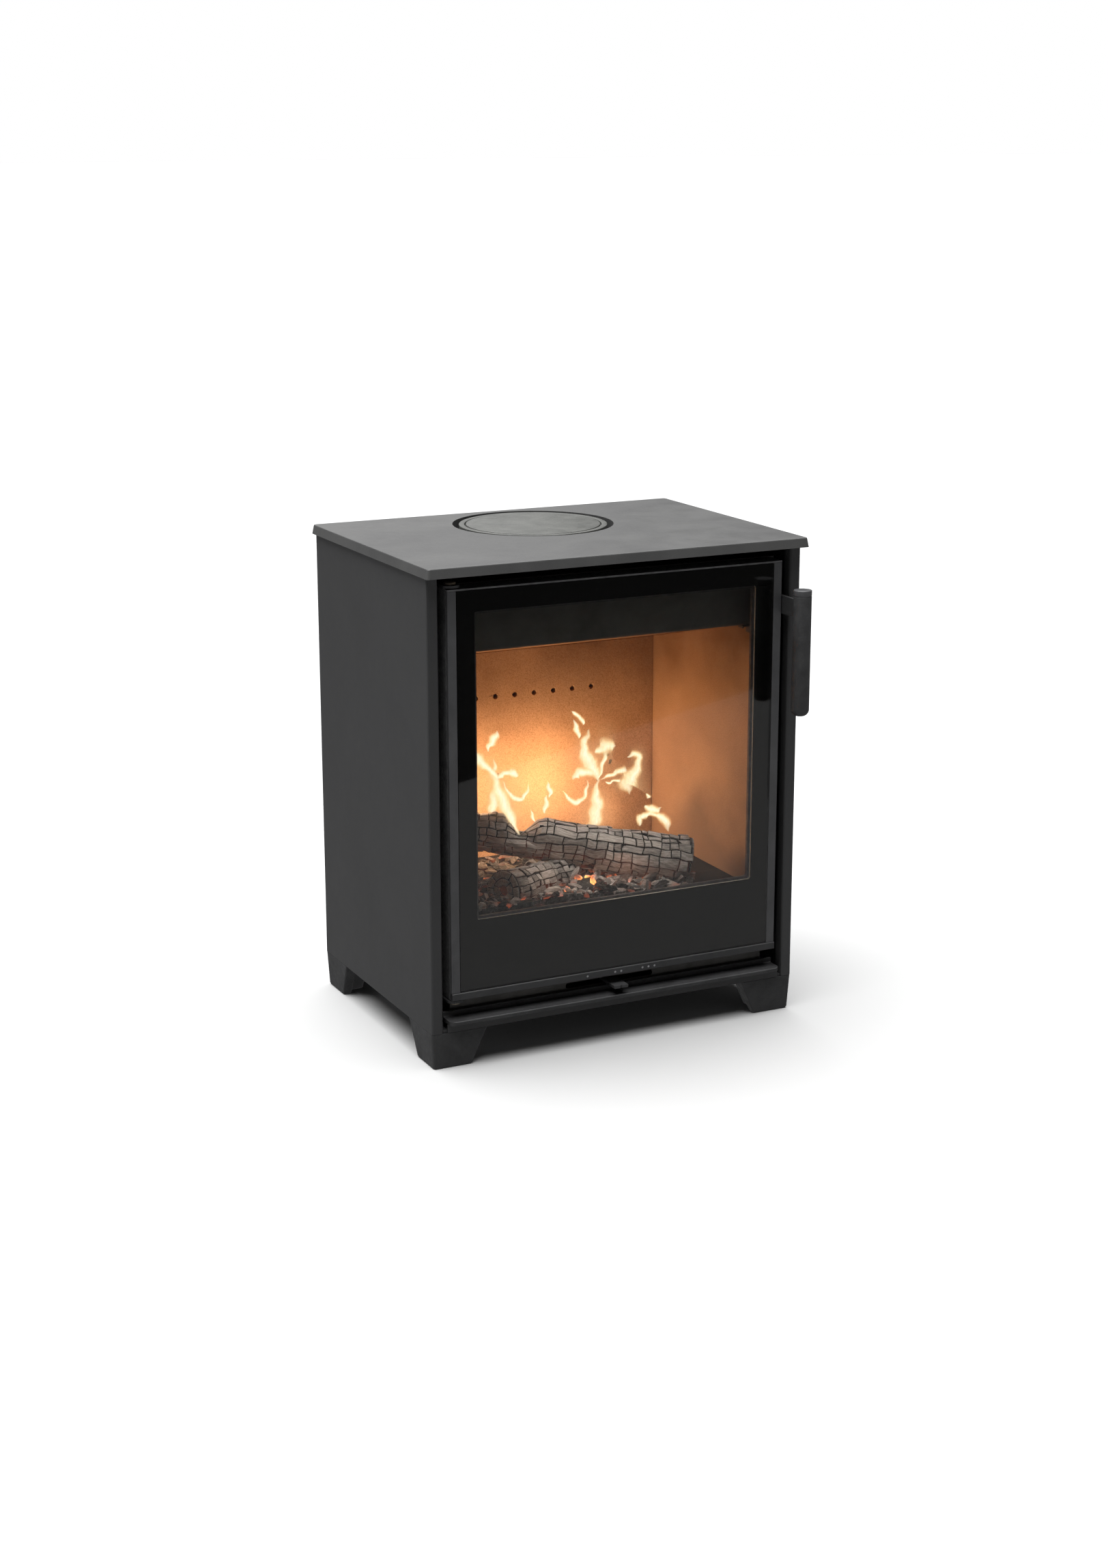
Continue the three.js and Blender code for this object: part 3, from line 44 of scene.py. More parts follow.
# a node tree under construction; each method adds a node and gives its output
class Nodes:
    def __init__(self, owner):
        self.owner = owner
        owner.use_nodes = True
        self.tree = owner.node_tree

    def put(self, socket, value):
        if isinstance(value, bpy.types.NodeSocket):
            self.tree.links.new(value, socket)
        else:
            socket.default_value = value

    def start(self, kind):
        return self.tree.nodes.new("ShaderNode" + kind)

    def fill(self, node, values):
        for socket, value in values.items():
            self.put(node.inputs[socket], value)
        return node

    def add(self, kind, values):
        return self.fill(self.start(kind), values)

    def mapped(self, place, scale, turn=(0, 0, 0)):
        return self.add("Mapping", {"Vector": place, "Scale": scale, "Rotation": turn}).outputs[0]

    def noise(self, place, scale, detail=3.0, roughness=0.5, distortion=0.0):
        return self.add("TexNoise", {"Vector": place, "Scale": scale, "Detail": detail, "Roughness": roughness,
                                     "Distortion": distortion}).outputs["Fac"]

    def spread(self, value, low, high, toLow=0.0, toHigh=1.0):
        return self.add("MapRange", {"Value": value, "From Min": low, "From Max": high, "To Min": toLow,
                                     "To Max": toHigh}).outputs["Result"]

    def combine(self, kind, first, second):
        node = self.start("Math")
        node.operation = kind
        node.use_clamp = kind in ("MULTIPLY", "ADD", "SUBTRACT")
        return self.fill(node, {0: first, 1: second}).outputs[0]

    def times(self, first, second):
        return self.combine("MULTIPLY", first, second)

    def plus(self, first, second):
        return self.combine("ADD", first, second)

    def axis(self, place, name):
        return self.add("SeparateXYZ", {0: place}).outputs[name]

    def attribute(self, name, output="Fac"):
        node = self.start("Attribute")
        node.attribute_name = name
        return node.outputs[output]

    def tones(self, value, stops):
        node = self.add("ValToRGB", {"Fac": value})
        elements = node.color_ramp.elements
        while len(elements) < len(stops):
            elements.new(0.5)
        for element, (position, colour) in zip(elements, stops):
            element.position = position
            element.color = (*colour, 1.0)
        return node.outputs["Color"]

    def blend(self, factor, first, second, kind="MIX"):
        node = self.start("Mix")
        node.data_type, node.blend_type = "RGBA", kind
        first, second = ((*tone, 1.0) if isinstance(tone, tuple) else tone for tone in (first, second))
        return self.fill(node, {0: factor, 6: first, 7: second}).outputs[2]

    def bump(self, height, distance, under=None):
        values = {"Height": height, "Distance": distance, "Strength": 1.0}
        return self.add("Bump", values if under is None else {**values, "Normal": under}).outputs["Normal"]

    def shade(self, values):
        self.fill(self.tree.nodes["Principled BSDF"], values)
        return self.owner


def startFinish(name):
    made = Nodes(bpy.data.materials.new(name))
    return made, made.start("TexCoord").outputs["Object"]


# ---- finishes of the metal pieces: dark and light end of the clouding, clouds per metre, metallic,
# roughness from and to, and two pairs of size per metre and depth: grain of the skin, waves under it
metalFinishes = {
    "castTop": ((0.038, 0.038, 0.038), (0.050, 0.050, 0.049), 9, 0.0,
                (0.50, 0.62), (620, 0.00010), (60, 0.00008)),
    "castLid": ((0.036, 0.037, 0.034), (0.060, 0.061, 0.056), 26, 0.0,
                (0.42, 0.62), (700, 0.00010), (90, 0.00010)),
    "castDark": ((0.015, 0.015, 0.0155), (0.025, 0.025, 0.026), 30, 0.0,
                 (0.48, 0.66), (480, 0.00028), (130, 0.00020)),
    "paintedSteel": ((0.0215, 0.0215, 0.0222), (0.0245, 0.0245, 0.0252), 6, 0.0,
                     (0.50, 0.56), (1500, 0.00004), (14, 0.00005)),
    "trimSteel": ((0.038, 0.038, 0.040), (0.052, 0.052, 0.054), 22, 0.1,
                  (0.40, 0.52), (1300, 0.00003), (30, 0.00008)),
    # the door's bottom bar: trimSteel with a darker tone, painted shade low on the door
    "trimSteelShaded": ((0.020, 0.020, 0.021), (0.028, 0.028, 0.029), 22, 0.1,
                 (0.40, 0.52), (1300, 0.00003), (30, 0.00008)),
    "screwSteel": ((0.10, 0.10, 0.105), (0.17, 0.17, 0.175), 60, 0.6,
                   (0.32, 0.48), (1800, 0.00002), (200, 0.00003)),
    "dotSteel": ((0.16, 0.16, 0.165), (0.24, 0.24, 0.245), 60, 0.2,
                 (0.30, 0.42), (1800, 0.00002), (200, 0.00002)),
    # the door frame: rough cast iron, set paler than castDark as painted light, since the lamps barely reach it
    "frameCastLit": ((0.040, 0.040, 0.041), (0.075, 0.075, 0.076), 90, 0.0,
                  (0.50, 0.70), (520, 0.00040), (150, 0.00030)),
    "deflectorSteel": ((0.080, 0.078, 0.073), (0.120, 0.117, 0.110), 16, 0.1,
                       (0.55, 0.70), (700, 0.00006), (40, 0.00010)),
    "heatedSteel": ((0.040, 0.038, 0.035), (0.070, 0.067, 0.062), 16, 0.1,
                    (0.60, 0.80), (700, 0.00010), (40, 0.00012)),
}
# the rim of the top plate gets a painted highlight: a thin lighter line along its front and side edges
rimHighlight = {"half": 0.2486, "front": 0.1601, "height": 0.5989, "line": 0.0006, "tone": (0.30, 0.30, 0.295)}


def paintedRimHighlight(made, place, colour):
    line = rimHighlight["line"]
    across = made.combine("ABSOLUTE", made.axis(place, "X"), 0.0)
    forward = made.spread(made.axis(place, "Y"), -1.0, 1.0, 1.0, -1.0)
    rim = made.combine("MAXIMUM", made.spread(across, rimHighlight["half"] - line, rimHighlight["half"]),
                    made.spread(forward, rimHighlight["front"] - line, rimHighlight["front"]))
    rim = made.times(rim, made.spread(made.axis(place, "Z"), rimHighlight["height"] - line, rimHighlight["height"]))
    rim = made.times(rim, made.spread(made.noise(place, 40, 3, 0.6), 0.3, 0.6, 0.45, 1.0))
    return made.blend(rim, colour, rimHighlight["tone"])


def metalMaterial(name):
    dark, light, clouding, metallic, rough, (grain, grainDepth), (waves, waveDepth) = metalFinishes[name]
    made, place = startFinish(name)
    clouds = made.noise(place, clouding, 5, 0.62, 0.6)
    fine = made.noise(place, grain, 2, 0.6)
    mottling = made.plus(made.spread(clouds, 0.32, 0.68), made.spread(fine, 0.3, 0.7, -0.09, 0.09))
    colour = made.tones(mottling, ((0.0, dark), (1.0, light)))
    # the top plate's rim carries a painted highlight
    if name == "castTop":
        colour = paintedRimHighlight(made, place, colour)
    rubbed = made.noise(place, clouding * 3, 4, 0.6)
    under = made.bump(made.noise(place, waves, 3, 0.5), waveDepth)
    return made.shade({"Base Color": colour, "Metallic": metallic,
                       "Roughness": made.spread(rubbed, 0.35, 0.65, *rough),
                       "Normal": made.bump(fine, grainDepth, under)})


# brushed sheet with straw and blue heat colours
def bareSteelMaterial():
    made, place = startFinish("bareSteel")
    brushing = made.noise(made.mapped(place, (8, 900, 900)), 1.0, 3, 0.6)
    heat = made.noise(place, 11, 3, 0.5, 0.8)
    colour = made.tones(heat, ((0.25, (0.24, 0.235, 0.225)), (0.5, (0.27, 0.22, 0.15)),
                               (0.62, (0.16, 0.13, 0.15)), (0.75, (0.19, 0.2, 0.23))))
    return made.shade({"Base Color": colour, "Metallic": 0.85,
                       "Roughness": made.spread(brushing, 0.3, 0.7, 0.32, 0.55),
                       "Normal": made.bump(brushing, 0.00004)})


# pressed vermiculite: finely flecked, darker towards the top, and with painted shade low down on the right wall
brickLooks = {
    "fireBrick": {"pale": (0.585, 0.39, 0.246), "deep": (0.505, 0.322, 0.196), "upperTone": (0.170, 0.098, 0.053),
                  "upwardDarkening": (0.30, 0.50, 0.0, 0.90), "paintedShade": (0.17, 0.125, 0.100)},
    "hearthBrick": {"pale": (0.040, 0.034, 0.031), "deep": (0.018, 0.016, 0.015), "upperTone": (0.012, 0.011, 0.010),
                    "upwardDarkening": (0.0, 0.5, 0.0, 0.2), "paintedShade": (0.012, 0.011, 0.010)},
}
paintedShadeWall = {"X": (0.196, 0.199, 0.0, 0.8), "Y": (0.125, 0.03, 0.25, 1.0), "heights": (0.36, 0.20)}


def brickMaterial(name):
    look = brickLooks[name]
    made, place = startFinish(name)
    patches = made.noise(place, 10, 5, 0.6, 0.4)
    flecks = made.noise(place, 900, 3, 0.7)
    colour = made.tones(patches, ((0.3, look["deep"]), (0.7, look["pale"])))
    fleckTone = made.tones(flecks, ((0.36, (0.62, 0.60, 0.58)), (0.56, (1, 1, 1))))
    colour = made.blend(1.0, colour, fleckTone, "MULTIPLY")
    # the brick blends towards its upper tone with height
    rising = made.plus(made.axis(place, "Z"), made.spread(made.noise(place, 9, 4), 0.3, 0.7, -0.06, 0.06))
    colour = made.blend(made.spread(rising, *look["upwardDarkening"]), colour, look["upperTone"])
    # painted shade: the right wall darkens low down, most towards the front
    paintedShade = made.spread(rising, *paintedShadeWall["heights"])
    for axis in ("X", "Y"):
        paintedShade = made.times(paintedShade, made.spread(made.axis(place, axis), *paintedShadeWall[axis]))
    rough = made.bump(made.noise(place, 300, 4, 0.65), 0.0004)
    return made.shade({"Base Color": made.blend(paintedShade, colour, look["paintedShade"]), "Roughness": 0.93,
                       "Specular IOR Level": 0.2, "Normal": made.bump(flecks, 0.0002, rough)})


def glassMaterial():
    made, place = startFinish("ceramicGlass")
    smears = made.noise(made.mapped(place, (18, 18, 5)), 1.0, 4, 0.6)
    return made.shade({"Base Color": (0.97, 0.955, 0.93, 1), "Transmission Weight": 1.0, "IOR": 1.5,
                       "Roughness": made.spread(smears, 0.3, 0.8, 0.0, 0.03)})


def enamelMaterial():
    made, place = startFinish("printedEnamel")
    specks = made.noise(place, 1900, 2, 0.5)
    colour = made.tones(specks, ((0.40, (0.0027, 0.0027, 0.0027)), (0.70, (0.0036, 0.0036, 0.0037))))
    return made.shade({"Base Color": colour, "Roughness": made.spread(specks, 0.3, 0.7, 0.55, 0.8),
                       "Specular IOR Level": 0.05, "Normal": made.bump(made.noise(place, 55, 2, 0.5), 0.00002)})


def ropeMaterial(name, pale, dark):
    made, place = startFinish(name)
    strands = made.noise(made.mapped(place, (700, 700, 700)), 1.0, 3, 0.6)
    stains = made.noise(place, 24, 4, 0.6)
    worn = made.plus(made.times(strands, 0.5), made.times(stains, 0.5))
    return made.shade({"Base Color": made.tones(worn, ((0.3, dark), (0.7, pale))), "Roughness": 0.95,
                       "Sheen Weight": 0.3, "Normal": made.bump(strands, 0.0004)})


# burnt wood: streaked along "grainPlace"; "tone" makes a block silver or black, "crack" darkens its flank
# past the char's black with painted shade, and "glow" is its red heat, under the logs partly painted ember
# light
def charcoalMaterial(name, pale, heat):
    made, place = startFinish(name)
    grainPlace = made.attribute("grainPlace", "Vector")
    streaks = made.noise(made.mapped(grainPlace, (70, 620, 620)), 1.0, 5, 0.7)
    dust = made.noise(grainPlace, 95, 5, 0.7)
    tone = made.attribute("tone")
    value = made.plus(made.times(streaks, 0.8), made.times(tone, 0.4))
    colour = made.tones(value, ((0.40, (0.030, 0.027, 0.025)), (0.60, (0.205, 0.190, 0.176)), (0.88, pale)))
    colour = made.blend(made.times(made.spread(dust, 0.52, 0.72), tone), colour, (0.46, 0.445, 0.42))
    # crack flanks and core: painted shade over the char's black
    colour = made.blend(made.attribute("crack"), colour, (0.006, 0.005, 0.005))
    patches = made.spread(made.noise(place, 55, 4, 0.6), 0.42, 0.62)
    glow = made.tones(made.times(made.attribute("glow"), patches),
                      ((0.0, (0.0, 0.0, 0.0)), (0.3, (0.30, 0.05, 0.012)), (0.7, (0.9, 0.26, 0.05)),
                       (1.0, (1.0, 0.52, 0.14))))
    return made.shade({"Base Color": colour, "Roughness": 0.88, "Specular IOR Level": 0.25,
                       "Emission Color": glow, "Emission Strength": heat, "Normal": made.bump(streaks, 0.0011)})


def ashMaterial():
    made, place = startFinish("ash")
    flakes = made.noise(place, 230, 5, 0.72)
    patches = made.noise(place, 30, 4, 0.6)
    value = made.plus(made.times(flakes, 0.6), made.times(patches, 0.5))
    colour = made.tones(value, ((0.40, (0.012, 0.011, 0.010)), (0.58, (0.06, 0.056, 0.052)),
                                (0.80, (0.26, 0.25, 0.235))))
    hot = made.times(made.spread(patches, 0.56, 0.68), made.spread(flakes, 0.5, 0.66))
    glow = made.tones(hot, ((0.0, (0, 0, 0)), (0.6, (0.7, 0.12, 0.02)), (1.0, (1.0, 0.45, 0.1))))
    return made.shade({"Base Color": colour, "Roughness": 1.0, "Specular IOR Level": 0.1,
                       "Emission Color": glow, "Emission Strength": 0.25, "Normal": made.bump(flakes, 0.002)})


# "across" runs from the middle of a flame (0) to its edge (1), "along" from its foot (0) to its tip (1)
flameLooks = {
    "flame": {"strength": 1.32, "cover": ((0.0, 0.93), (0.30, 0.80), (0.52, 0.34), (0.78, 0.07), (1.0, 0.0)),
              "tones": ((0.0, (1.0, 0.93, 0.70)), (0.38, (1.0, 0.80, 0.44)), (0.80, (1.0, 0.46, 0.15)))},
    "flameVeil": {"strength": 1.0, "cover": ((0.0, 0.13), (0.5, 0.07), (1.0, 0.0)),
                  "tones": ((0.0, (1.0, 0.70, 0.36)), (1.0, (1.0, 0.50, 0.22)))},
}


def flameMaterial(name):
    look = flameLooks[name]
    made, place = startFinish(name)
    licks = made.noise(made.mapped(place, (90, 90, 45)), 1.0, 3, 0.55, 0.8)
    ragged = made.plus(made.attribute("across"), made.spread(licks, 0.3, 0.7, -0.16, 0.16))
    cover = made.tones(ragged, [(spot, (share, share, share)) for spot, share in look["cover"]])
    threads = made.noise(made.mapped(place, (260, 260, 38), (0, 0.3, 0)), 1.0, 2, 0.5, 1.5)
    cover = made.times(cover, made.spread(threads, 0.34, 0.56, 0.72, 1.0))
    ends = made.tones(made.attribute("along"), ((0.0, (0.4, 0.4, 0.4)), (0.15, (1, 1, 1)), (0.7, (1, 1, 1)),
                                                (1.0, (0.15, 0.15, 0.15))))
    return made.shade({"Base Color": (0.0, 0.0, 0.0, 1), "Specular IOR Level": 0.0,
                       "Emission Color": made.tones(ragged, look["tones"]),
                       "Emission Strength": look["strength"], "Alpha": made.times(cover, ends)})


materials = {name: metalMaterial(name) for name in metalFinishes}
materials["bareSteel"] = bareSteelMaterial()
materials.update({name: brickMaterial(name) for name in brickLooks})
materials["ceramicGlass"] = glassMaterial()
materials["printedEnamel"] = enamelMaterial()
materials["sealRope"] = ropeMaterial("sealRope", (0.30, 0.285, 0.26), (0.10, 0.095, 0.09))
materials["glassTape"] = ropeMaterial("glassTape", (0.62, 0.57, 0.47), (0.34, 0.30, 0.24))
materials["logChar"] = charcoalMaterial("logChar", (0.52, 0.49, 0.45), 1.5)
materials["emberChar"] = charcoalMaterial("emberChar", (0.41, 0.40, 0.38), 1.6)
materials["ash"] = ashMaterial()
materials.update({name: flameMaterial(name) for name in flameLooks})
print("finishes made:", len(materials))

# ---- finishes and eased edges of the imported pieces; the number is the edge radius in metres
packedPieces = {
    "castTop": (["top_plate"], 0.0),
    "castLid": (["lid_ring", "lid_disc"], 0.0),
    "castDark": (["foot_front_left", "foot_front_right", "foot_rear_left", "foot_rear_right", "ash_lip",
                  "rear_outlet_cover", "flue_collar", "handle_grip"], 0.0005),
    "paintedSteel": (["side_panel_left", "side_panel_right", "back_panel", "base_plate", "air_lever",
                      "hinge_bracket_upper", "hinge_bracket_lower", "handle_lever"], 0.0003),
    "trimSteelShaded": (["door_bottom_bar"], 0.0),
    "frameCastLit": (["door_frame"], 0.0005),
    "deflectorSteel": (["air_wash_deflector"], 0.0003),
    "heatedSteel": (["air_box", "rear_air_channel", "firebox_side_left", "firebox_side_right", "firebox_roof",
                     "firebox_back", "firebox_floor", "firebox_front_frame", "grate"], 0.0004),
    "trimSteel": (["door_strip_left", "door_strip_right", "handle_cap"], 0.0),
    "bareSteel": (["air_slide_plate", "hearth_plate", "ash_pan", "hinge_pin_upper", "hinge_pin_lower",
                   "latch_keeper", "handle_pivot_pin"], 0.0002),
    "fireBrick": (["brick_left", "brick_right", "brick_back", "baffle_plate"], 0.0008),
    "hearthBrick": (["hearth_brick_front", "hearth_brick_rear", "hearth_brick_left",
                     "hearth_brick_right"], 0.0008),
    "ceramicGlass": (["door_glass"], 0.0),
    "glassTape": (["glass_tape"], 0.0),
    "sealRope": (["door_rope_seal"], 0.0),
}


def easeEdges(piece, radius):
    weld = piece.modifiers.new("weld", "WELD")
    weld.merge_threshold = 0.00002
    bevel = piece.modifiers.new("easedEdges", "BEVEL")
    bevel.width = radius
    bevel.segments = 2
    bevel.limit_method = "ANGLE"
    bevel.angle_limit = math.radians(38)


for finish, (names, radius) in packedPieces.items():
    for name in names:
        piece = nodes[name]
        piece.data.materials.clear()
        piece.data.materials.append(materials[finish])
        if radius:
            easeEdges(piece, radius)
print("packed pieces dressed")


# ---- making new pieces
def addPiece(name, made, finish, body, smooth=True, solid=None):
    mesh = meshFrom(made, name) if isinstance(made, bmesh.types.BMesh) else made
    piece = bpy.data.objects.new(name, mesh)
    bpy.context.scene.collection.objects.link(piece)
    mesh.materials.append(materials[finish])
    for face in mesh.polygons:
        face.use_smooth = smooth
    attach(piece, body)
    if solid:
        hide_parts(solid)
    return piece


def meshFrom(bm, name, recalculate=True):
    if recalculate:
        cleaned(bm)
    mesh = bpy.data.meshes.new(name)
    bm.to_mesh(mesh)
    bm.free()
    return mesh


def cleaned(bm):
    bmesh.ops.remove_doubles(bm, verts=bm.verts, dist=0.000005)
    bmesh.ops.recalc_face_normals(bm, faces=bm.faces)


def roundEdges(bm, edges, radius, segments):
    bmesh.ops.bevel(bm, geom=edges, offset=radius, segments=segments, affect="EDGES", profile=0.5, material=-1)


def sharpEdges(bm, angle):
    return [e for e in bm.edges if len(e.link_faces) == 2 and e.calc_face_angle(0) > math.radians(angle)]


# makes the faces a sheet that reaches "thickness" towards the back
def thicken(bm, faces, thickness):
    made = bmesh.ops.extrude_face_region(bm, geom=faces)
    far = [g for g in made["geom"] if isinstance(g, bmesh.types.BMVert)]
    bmesh.ops.translate(bm, verts=far, vec=(0, thickness, 0))
    bmesh.ops.recalc_face_normals(bm, faces=bm.faces)


def bridgeRings(bm, rings):
    for pair in zip(rings, rings[1:]):
        loops = [e for e in bm.edges if any(e.verts[0] in ring and e.verts[1] in ring for ring in pair)]
        bmesh.ops.bridge_loops(bm, edges=loops)


def closeEnds(bm):
    bmesh.ops.holes_fill(bm, edges=[e for e in bm.edges if e.is_boundary], sides=0)


# a profile of (radius, height) spun round the upright axis of a lid or a grip, with its sharp rims rounded
def addSpun(name, profile, shape, rim, finish, body, solid, isRing=False):
    bm = bmesh.new()
    x, y = shape["centre"]
    corners = [bm.verts.new((x + radius, y, height)) for radius, height in profile]
    for first, second in zip(corners, corners[1:] + ([corners[0]] if isRing else [])):
        bm.edges.new((first, second))
    bmesh.ops.spin(bm, geom=bm.verts[:] + bm.edges[:], cent=(x, y, 0), axis=(0, 0, 1), angle=2 * math.pi,
                   steps=shape["steps"], use_merge=True, use_duplicate=False)
    cleaned(bm)
    roundEdges(bm, sharpEdges(bm, 50), rim, 3)
    addPiece(name, bm, finish, body, solid=solid)


# ---- flue lid on the top plate
lid = {"centre": (0.0, 0.0864), "seat": 0.5920, "rimRadius": 0.0920, "recessRadius": 0.0850,
       "boreRadius": 0.0630, "spigot": (0.0704, 0.0744), "spigotFoot": 0.5800, "top": 0.5997, "ledge": 0.5960,
       "discRadius": 0.0834, "discTop": 0.6000, "discGap": 0.0003, "rim": 0.0007, "steps": 144}


def makeLid():
    bore, edge, recess = lid["boreRadius"], lid["rimRadius"], lid["recessRadius"]
    seat, foot, top, ledge = lid["seat"], lid["spigotFoot"], lid["top"], lid["ledge"]
    inner, outer = lid["spigot"]
    ring = [(bore, seat), (inner, seat), (inner, foot), (outer, foot), (outer, seat), (edge, seat), (edge, top),
            (recess, top), (recess, ledge), (bore, ledge)]
    low = ledge + lid["discGap"]
    disc = [(0.0, low), (lid["discRadius"], low), (lid["discRadius"], lid["discTop"]), (0.0, lid["discTop"])]
    addSpun("lidRing", ring, lid, lid["rim"], "castLid", "lid", "lid_ring", isRing=True)
    addSpun("lidDisc", disc, lid, lid["rim"], "castLid", "lid", "lid_disc")


makeLid()
print("flue lid made")

# ---- door handle
grip = {"centre": (0.2223, -0.1903), "top": 0.5437, "capFoot": 0.5372, "groove": 0.0008, "low": 0.3904,
        "radius": 0.0110, "endRound": 0.0080, "endSteps": 8, "capGap": 0.0003, "capEase": 0.0006,
        "barRim": 0.0004, "capRim": 0.0006, "steps": 64}


def makeGrip():
    radius, foot, bend, steps = grip["radius"], grip["low"], grip["endRound"], grip["endSteps"]
    turns = [i / steps * math.pi / 2 for i in range(steps + 1)]
    dome = [(radius - bend * (1 - math.sin(turn)), foot + bend * (1 - math.cos(turn))) for turn in turns]
    top = grip["capFoot"] - grip["groove"]
    bar = [(0.0, foot)] + dome + [(radius, top), (0.0, top)]
    low = top + grip["capGap"]
    cap = [(0.0, low), (radius - grip["capEase"], low), (radius, grip["capFoot"]), (radius, grip["top"]),
           (0.0, grip["top"])]
    addSpun("handleGrip", bar, grip, grip["barRim"], "castDark", "handle", "handle_grip")
    addSpun("gripCap", cap, grip, grip["capRim"], "trimSteel", "handle", "handle_cap")


makeGrip()
print("handle made")

# ---- black enamel printed behind the edge of the door glass
enamel = {"half": 0.2077, "low": 0.0924, "high": 0.5702, "windowHalf": 0.1847, "windowLow": 0.1780,
          "windowHigh": 0.5447, "corner": 0.0028, "front": -0.14328, "thickness": 0.00018, "near": 0.0001}


def makeEnamel():
    bm = bmesh.new()
    bmesh.ops.create_grid(bm, x_segments=3, y_segments=3, size=1.0)
    window = min(bm.faces, key=lambda face: face.calc_center_median().length)
    across = [-enamel["half"], -enamel["windowHalf"], enamel["windowHalf"], enamel["half"]]
    upright = [enamel["low"], enamel["windowLow"], enamel["windowHigh"], enamel["high"]]
    for vert in bm.verts:
        column, row = (round((place + 1) * 1.5) for place in vert.co.xy)
        vert.co = Vector((across[column], enamel["front"], upright[row]))
    bmesh.ops.delete(bm, geom=[window], context="FACES")
    thicken(bm, bm.faces[:], enamel["thickness"])

    def isCorner(edge):
        (x, y, z), (_, otherY, _) = (vert.co for vert in edge.verts)
        aside = abs(abs(x) - enamel["windowHalf"])
        off = min(abs(z - enamel["windowLow"]), abs(z - enamel["windowHigh"]))
        return abs(y - otherY) > enamel["near"] > max(aside, off)

    roundEdges(bm, [e for e in bm.edges if isCorner(e)], enamel["corner"], 5)
    addPiece("glassEnamel", bm, "printedEnamel", "door", smooth=False)


makeEnamel()
print("door glass print made")

# ---- screws of the rear sheet and the outlet cover, heads to the back; (x, z) places at the depth "face"
screwHead = {"radius": 0.0036, "height": 0.0018, "crown": 0.0023, "socket": 0.0015, "socketDepth": 0.0012,
             "sides": 24}
outlet = {"height": 0.484, "radius": 0.0775, "turns": [math.radians(turn) for turn in (30, 150, 270)]}
screwSets = {
    "rearPanelScrews": {"face": 0.1981, "places": [(side * 0.2365, z) for side in (-1, 1)
                                                   for z in (0.085, 0.240, 0.395, 0.550)]},
    "outletScrews": {"face": 0.1753, "places": [
        (outlet["radius"] * math.cos(turn), outlet["height"] + outlet["radius"] * math.sin(turn))
        for turn in outlet["turns"]]},
}


def addScrew(bm, face, x, z):
    radius, height, crown, socket = (screwHead[key] for key in ("radius", "height", "crown", "socket"))
    sides = screwHead["sides"]
    levels = [(radius, 0.0, sides), (radius, 0.7 * height, sides), (0.80 * radius, height, sides),
              (0.55 * radius, crown, sides), (socket, crown, 6), (socket, crown - screwHead["socketDepth"], 6)]
    rings = []
    for ringRadius, rise, sides in levels:
        place = Matrix.Translation((x, face + rise, z)) @ Matrix.Rotation(-math.pi / 2, 4, "X")
        made = bmesh.ops.create_circle(bm, segments=sides, radius=ringRadius, cap_ends=False, matrix=place)
        rings.append(set(made["verts"]))
    bridgeRings(bm, rings)


def makeScrews(name):
    bm = bmesh.new()
    for x, z in screwSets[name]["places"]:
        addScrew(bm, screwSets[name]["face"], x, z)
    closeEnds(bm)
    addPiece(name, bm, "screwSteel", "stove", smooth=False)


# ---- one, two and three raised dots along the bar over the air lever's slot
barDots = {"groups": ((1, -0.0415), (2, 0.0), (3, 0.0415)), "pitch": 0.0082, "radius": 0.0015, "foot": -0.1484,
           "height": 0.0870, "dome": 0.0006}


def makeBarDots():
    bm = bmesh.new()
    squash = Matrix.Diagonal((1, barDots["dome"] / barDots["radius"], 1, 1))
    for count, centre in barDots["groups"]:
        for i in range(count):
            x = centre + (i - (count - 1) / 2) * barDots["pitch"]
            place = Matrix.Translation((x, barDots["foot"], barDots["height"]))
            bmesh.ops.create_icosphere(bm, subdivisions=3, radius=barDots["radius"], matrix=place @ squash)
    addPiece("barDots", bm, "dotSteel", "door")


# ---- folded clip that holds the right-hand side brick under the air-wash deflector
brickClip = {"across": (0.1880, 0.2003), "depth": (-0.1085, -0.0975), "low": 0.4790, "high": 0.4887,
             "lip": 0.0030, "sheet": 0.0015, "ease": 0.0004}


def makeBrickClip():
    (left, right), (near, far) = brickClip["across"], brickClip["depth"]
    low, high, sheet = brickClip["low"], brickClip["high"], brickClip["sheet"]
    lip = high - brickClip["lip"]
    outer = [(right, low), (right, high), (left, high), (left, lip)]
    inner = [(right - sheet, low), (right - sheet, high - sheet), (left + sheet, high - sheet),
             (left + sheet, lip)]
    bm = bmesh.new()
    corners = [bm.verts.new((x, near, z)) for x, z in outer + inner[::-1]]
    thicken(bm, [bm.faces.new(corners)], far - near)
    roundEdges(bm, sharpEdges(bm, 30), brickClip["ease"], 2)
    addPiece("brickClip", bm, "heatedSteel", "stove", smooth=False)


makeBarDots()
for setName in screwSets:
    makeScrews(setName)
makeBrickClip()
print("screws, dots and clip made")


# ---- the fire: charred logs, embers and ash, over the solids that stand for them
hearth = {"half": 0.2010, "front": -0.1065, "deep": 0.2492, "top": 0.1600, "clear": 0.0006, "wallClear": 0.0008}


def onHearth(across, deep, height):
    return Vector((across * hearth["half"], hearth["front"] + deep * hearth["deep"], hearth["top"] + height))


def keptOnHearth(place):
    place.z = max(place.z, hearth["top"] + hearth["clear"])
    place.y = max(place.y, hearth["front"] + hearth["wallClear"])
    return place


def smoothNoise(point, size, seed):
    return noise.noise(Vector(point) / size + Vector((seed * 7.3, seed * 3.1, seed * 5.7)))


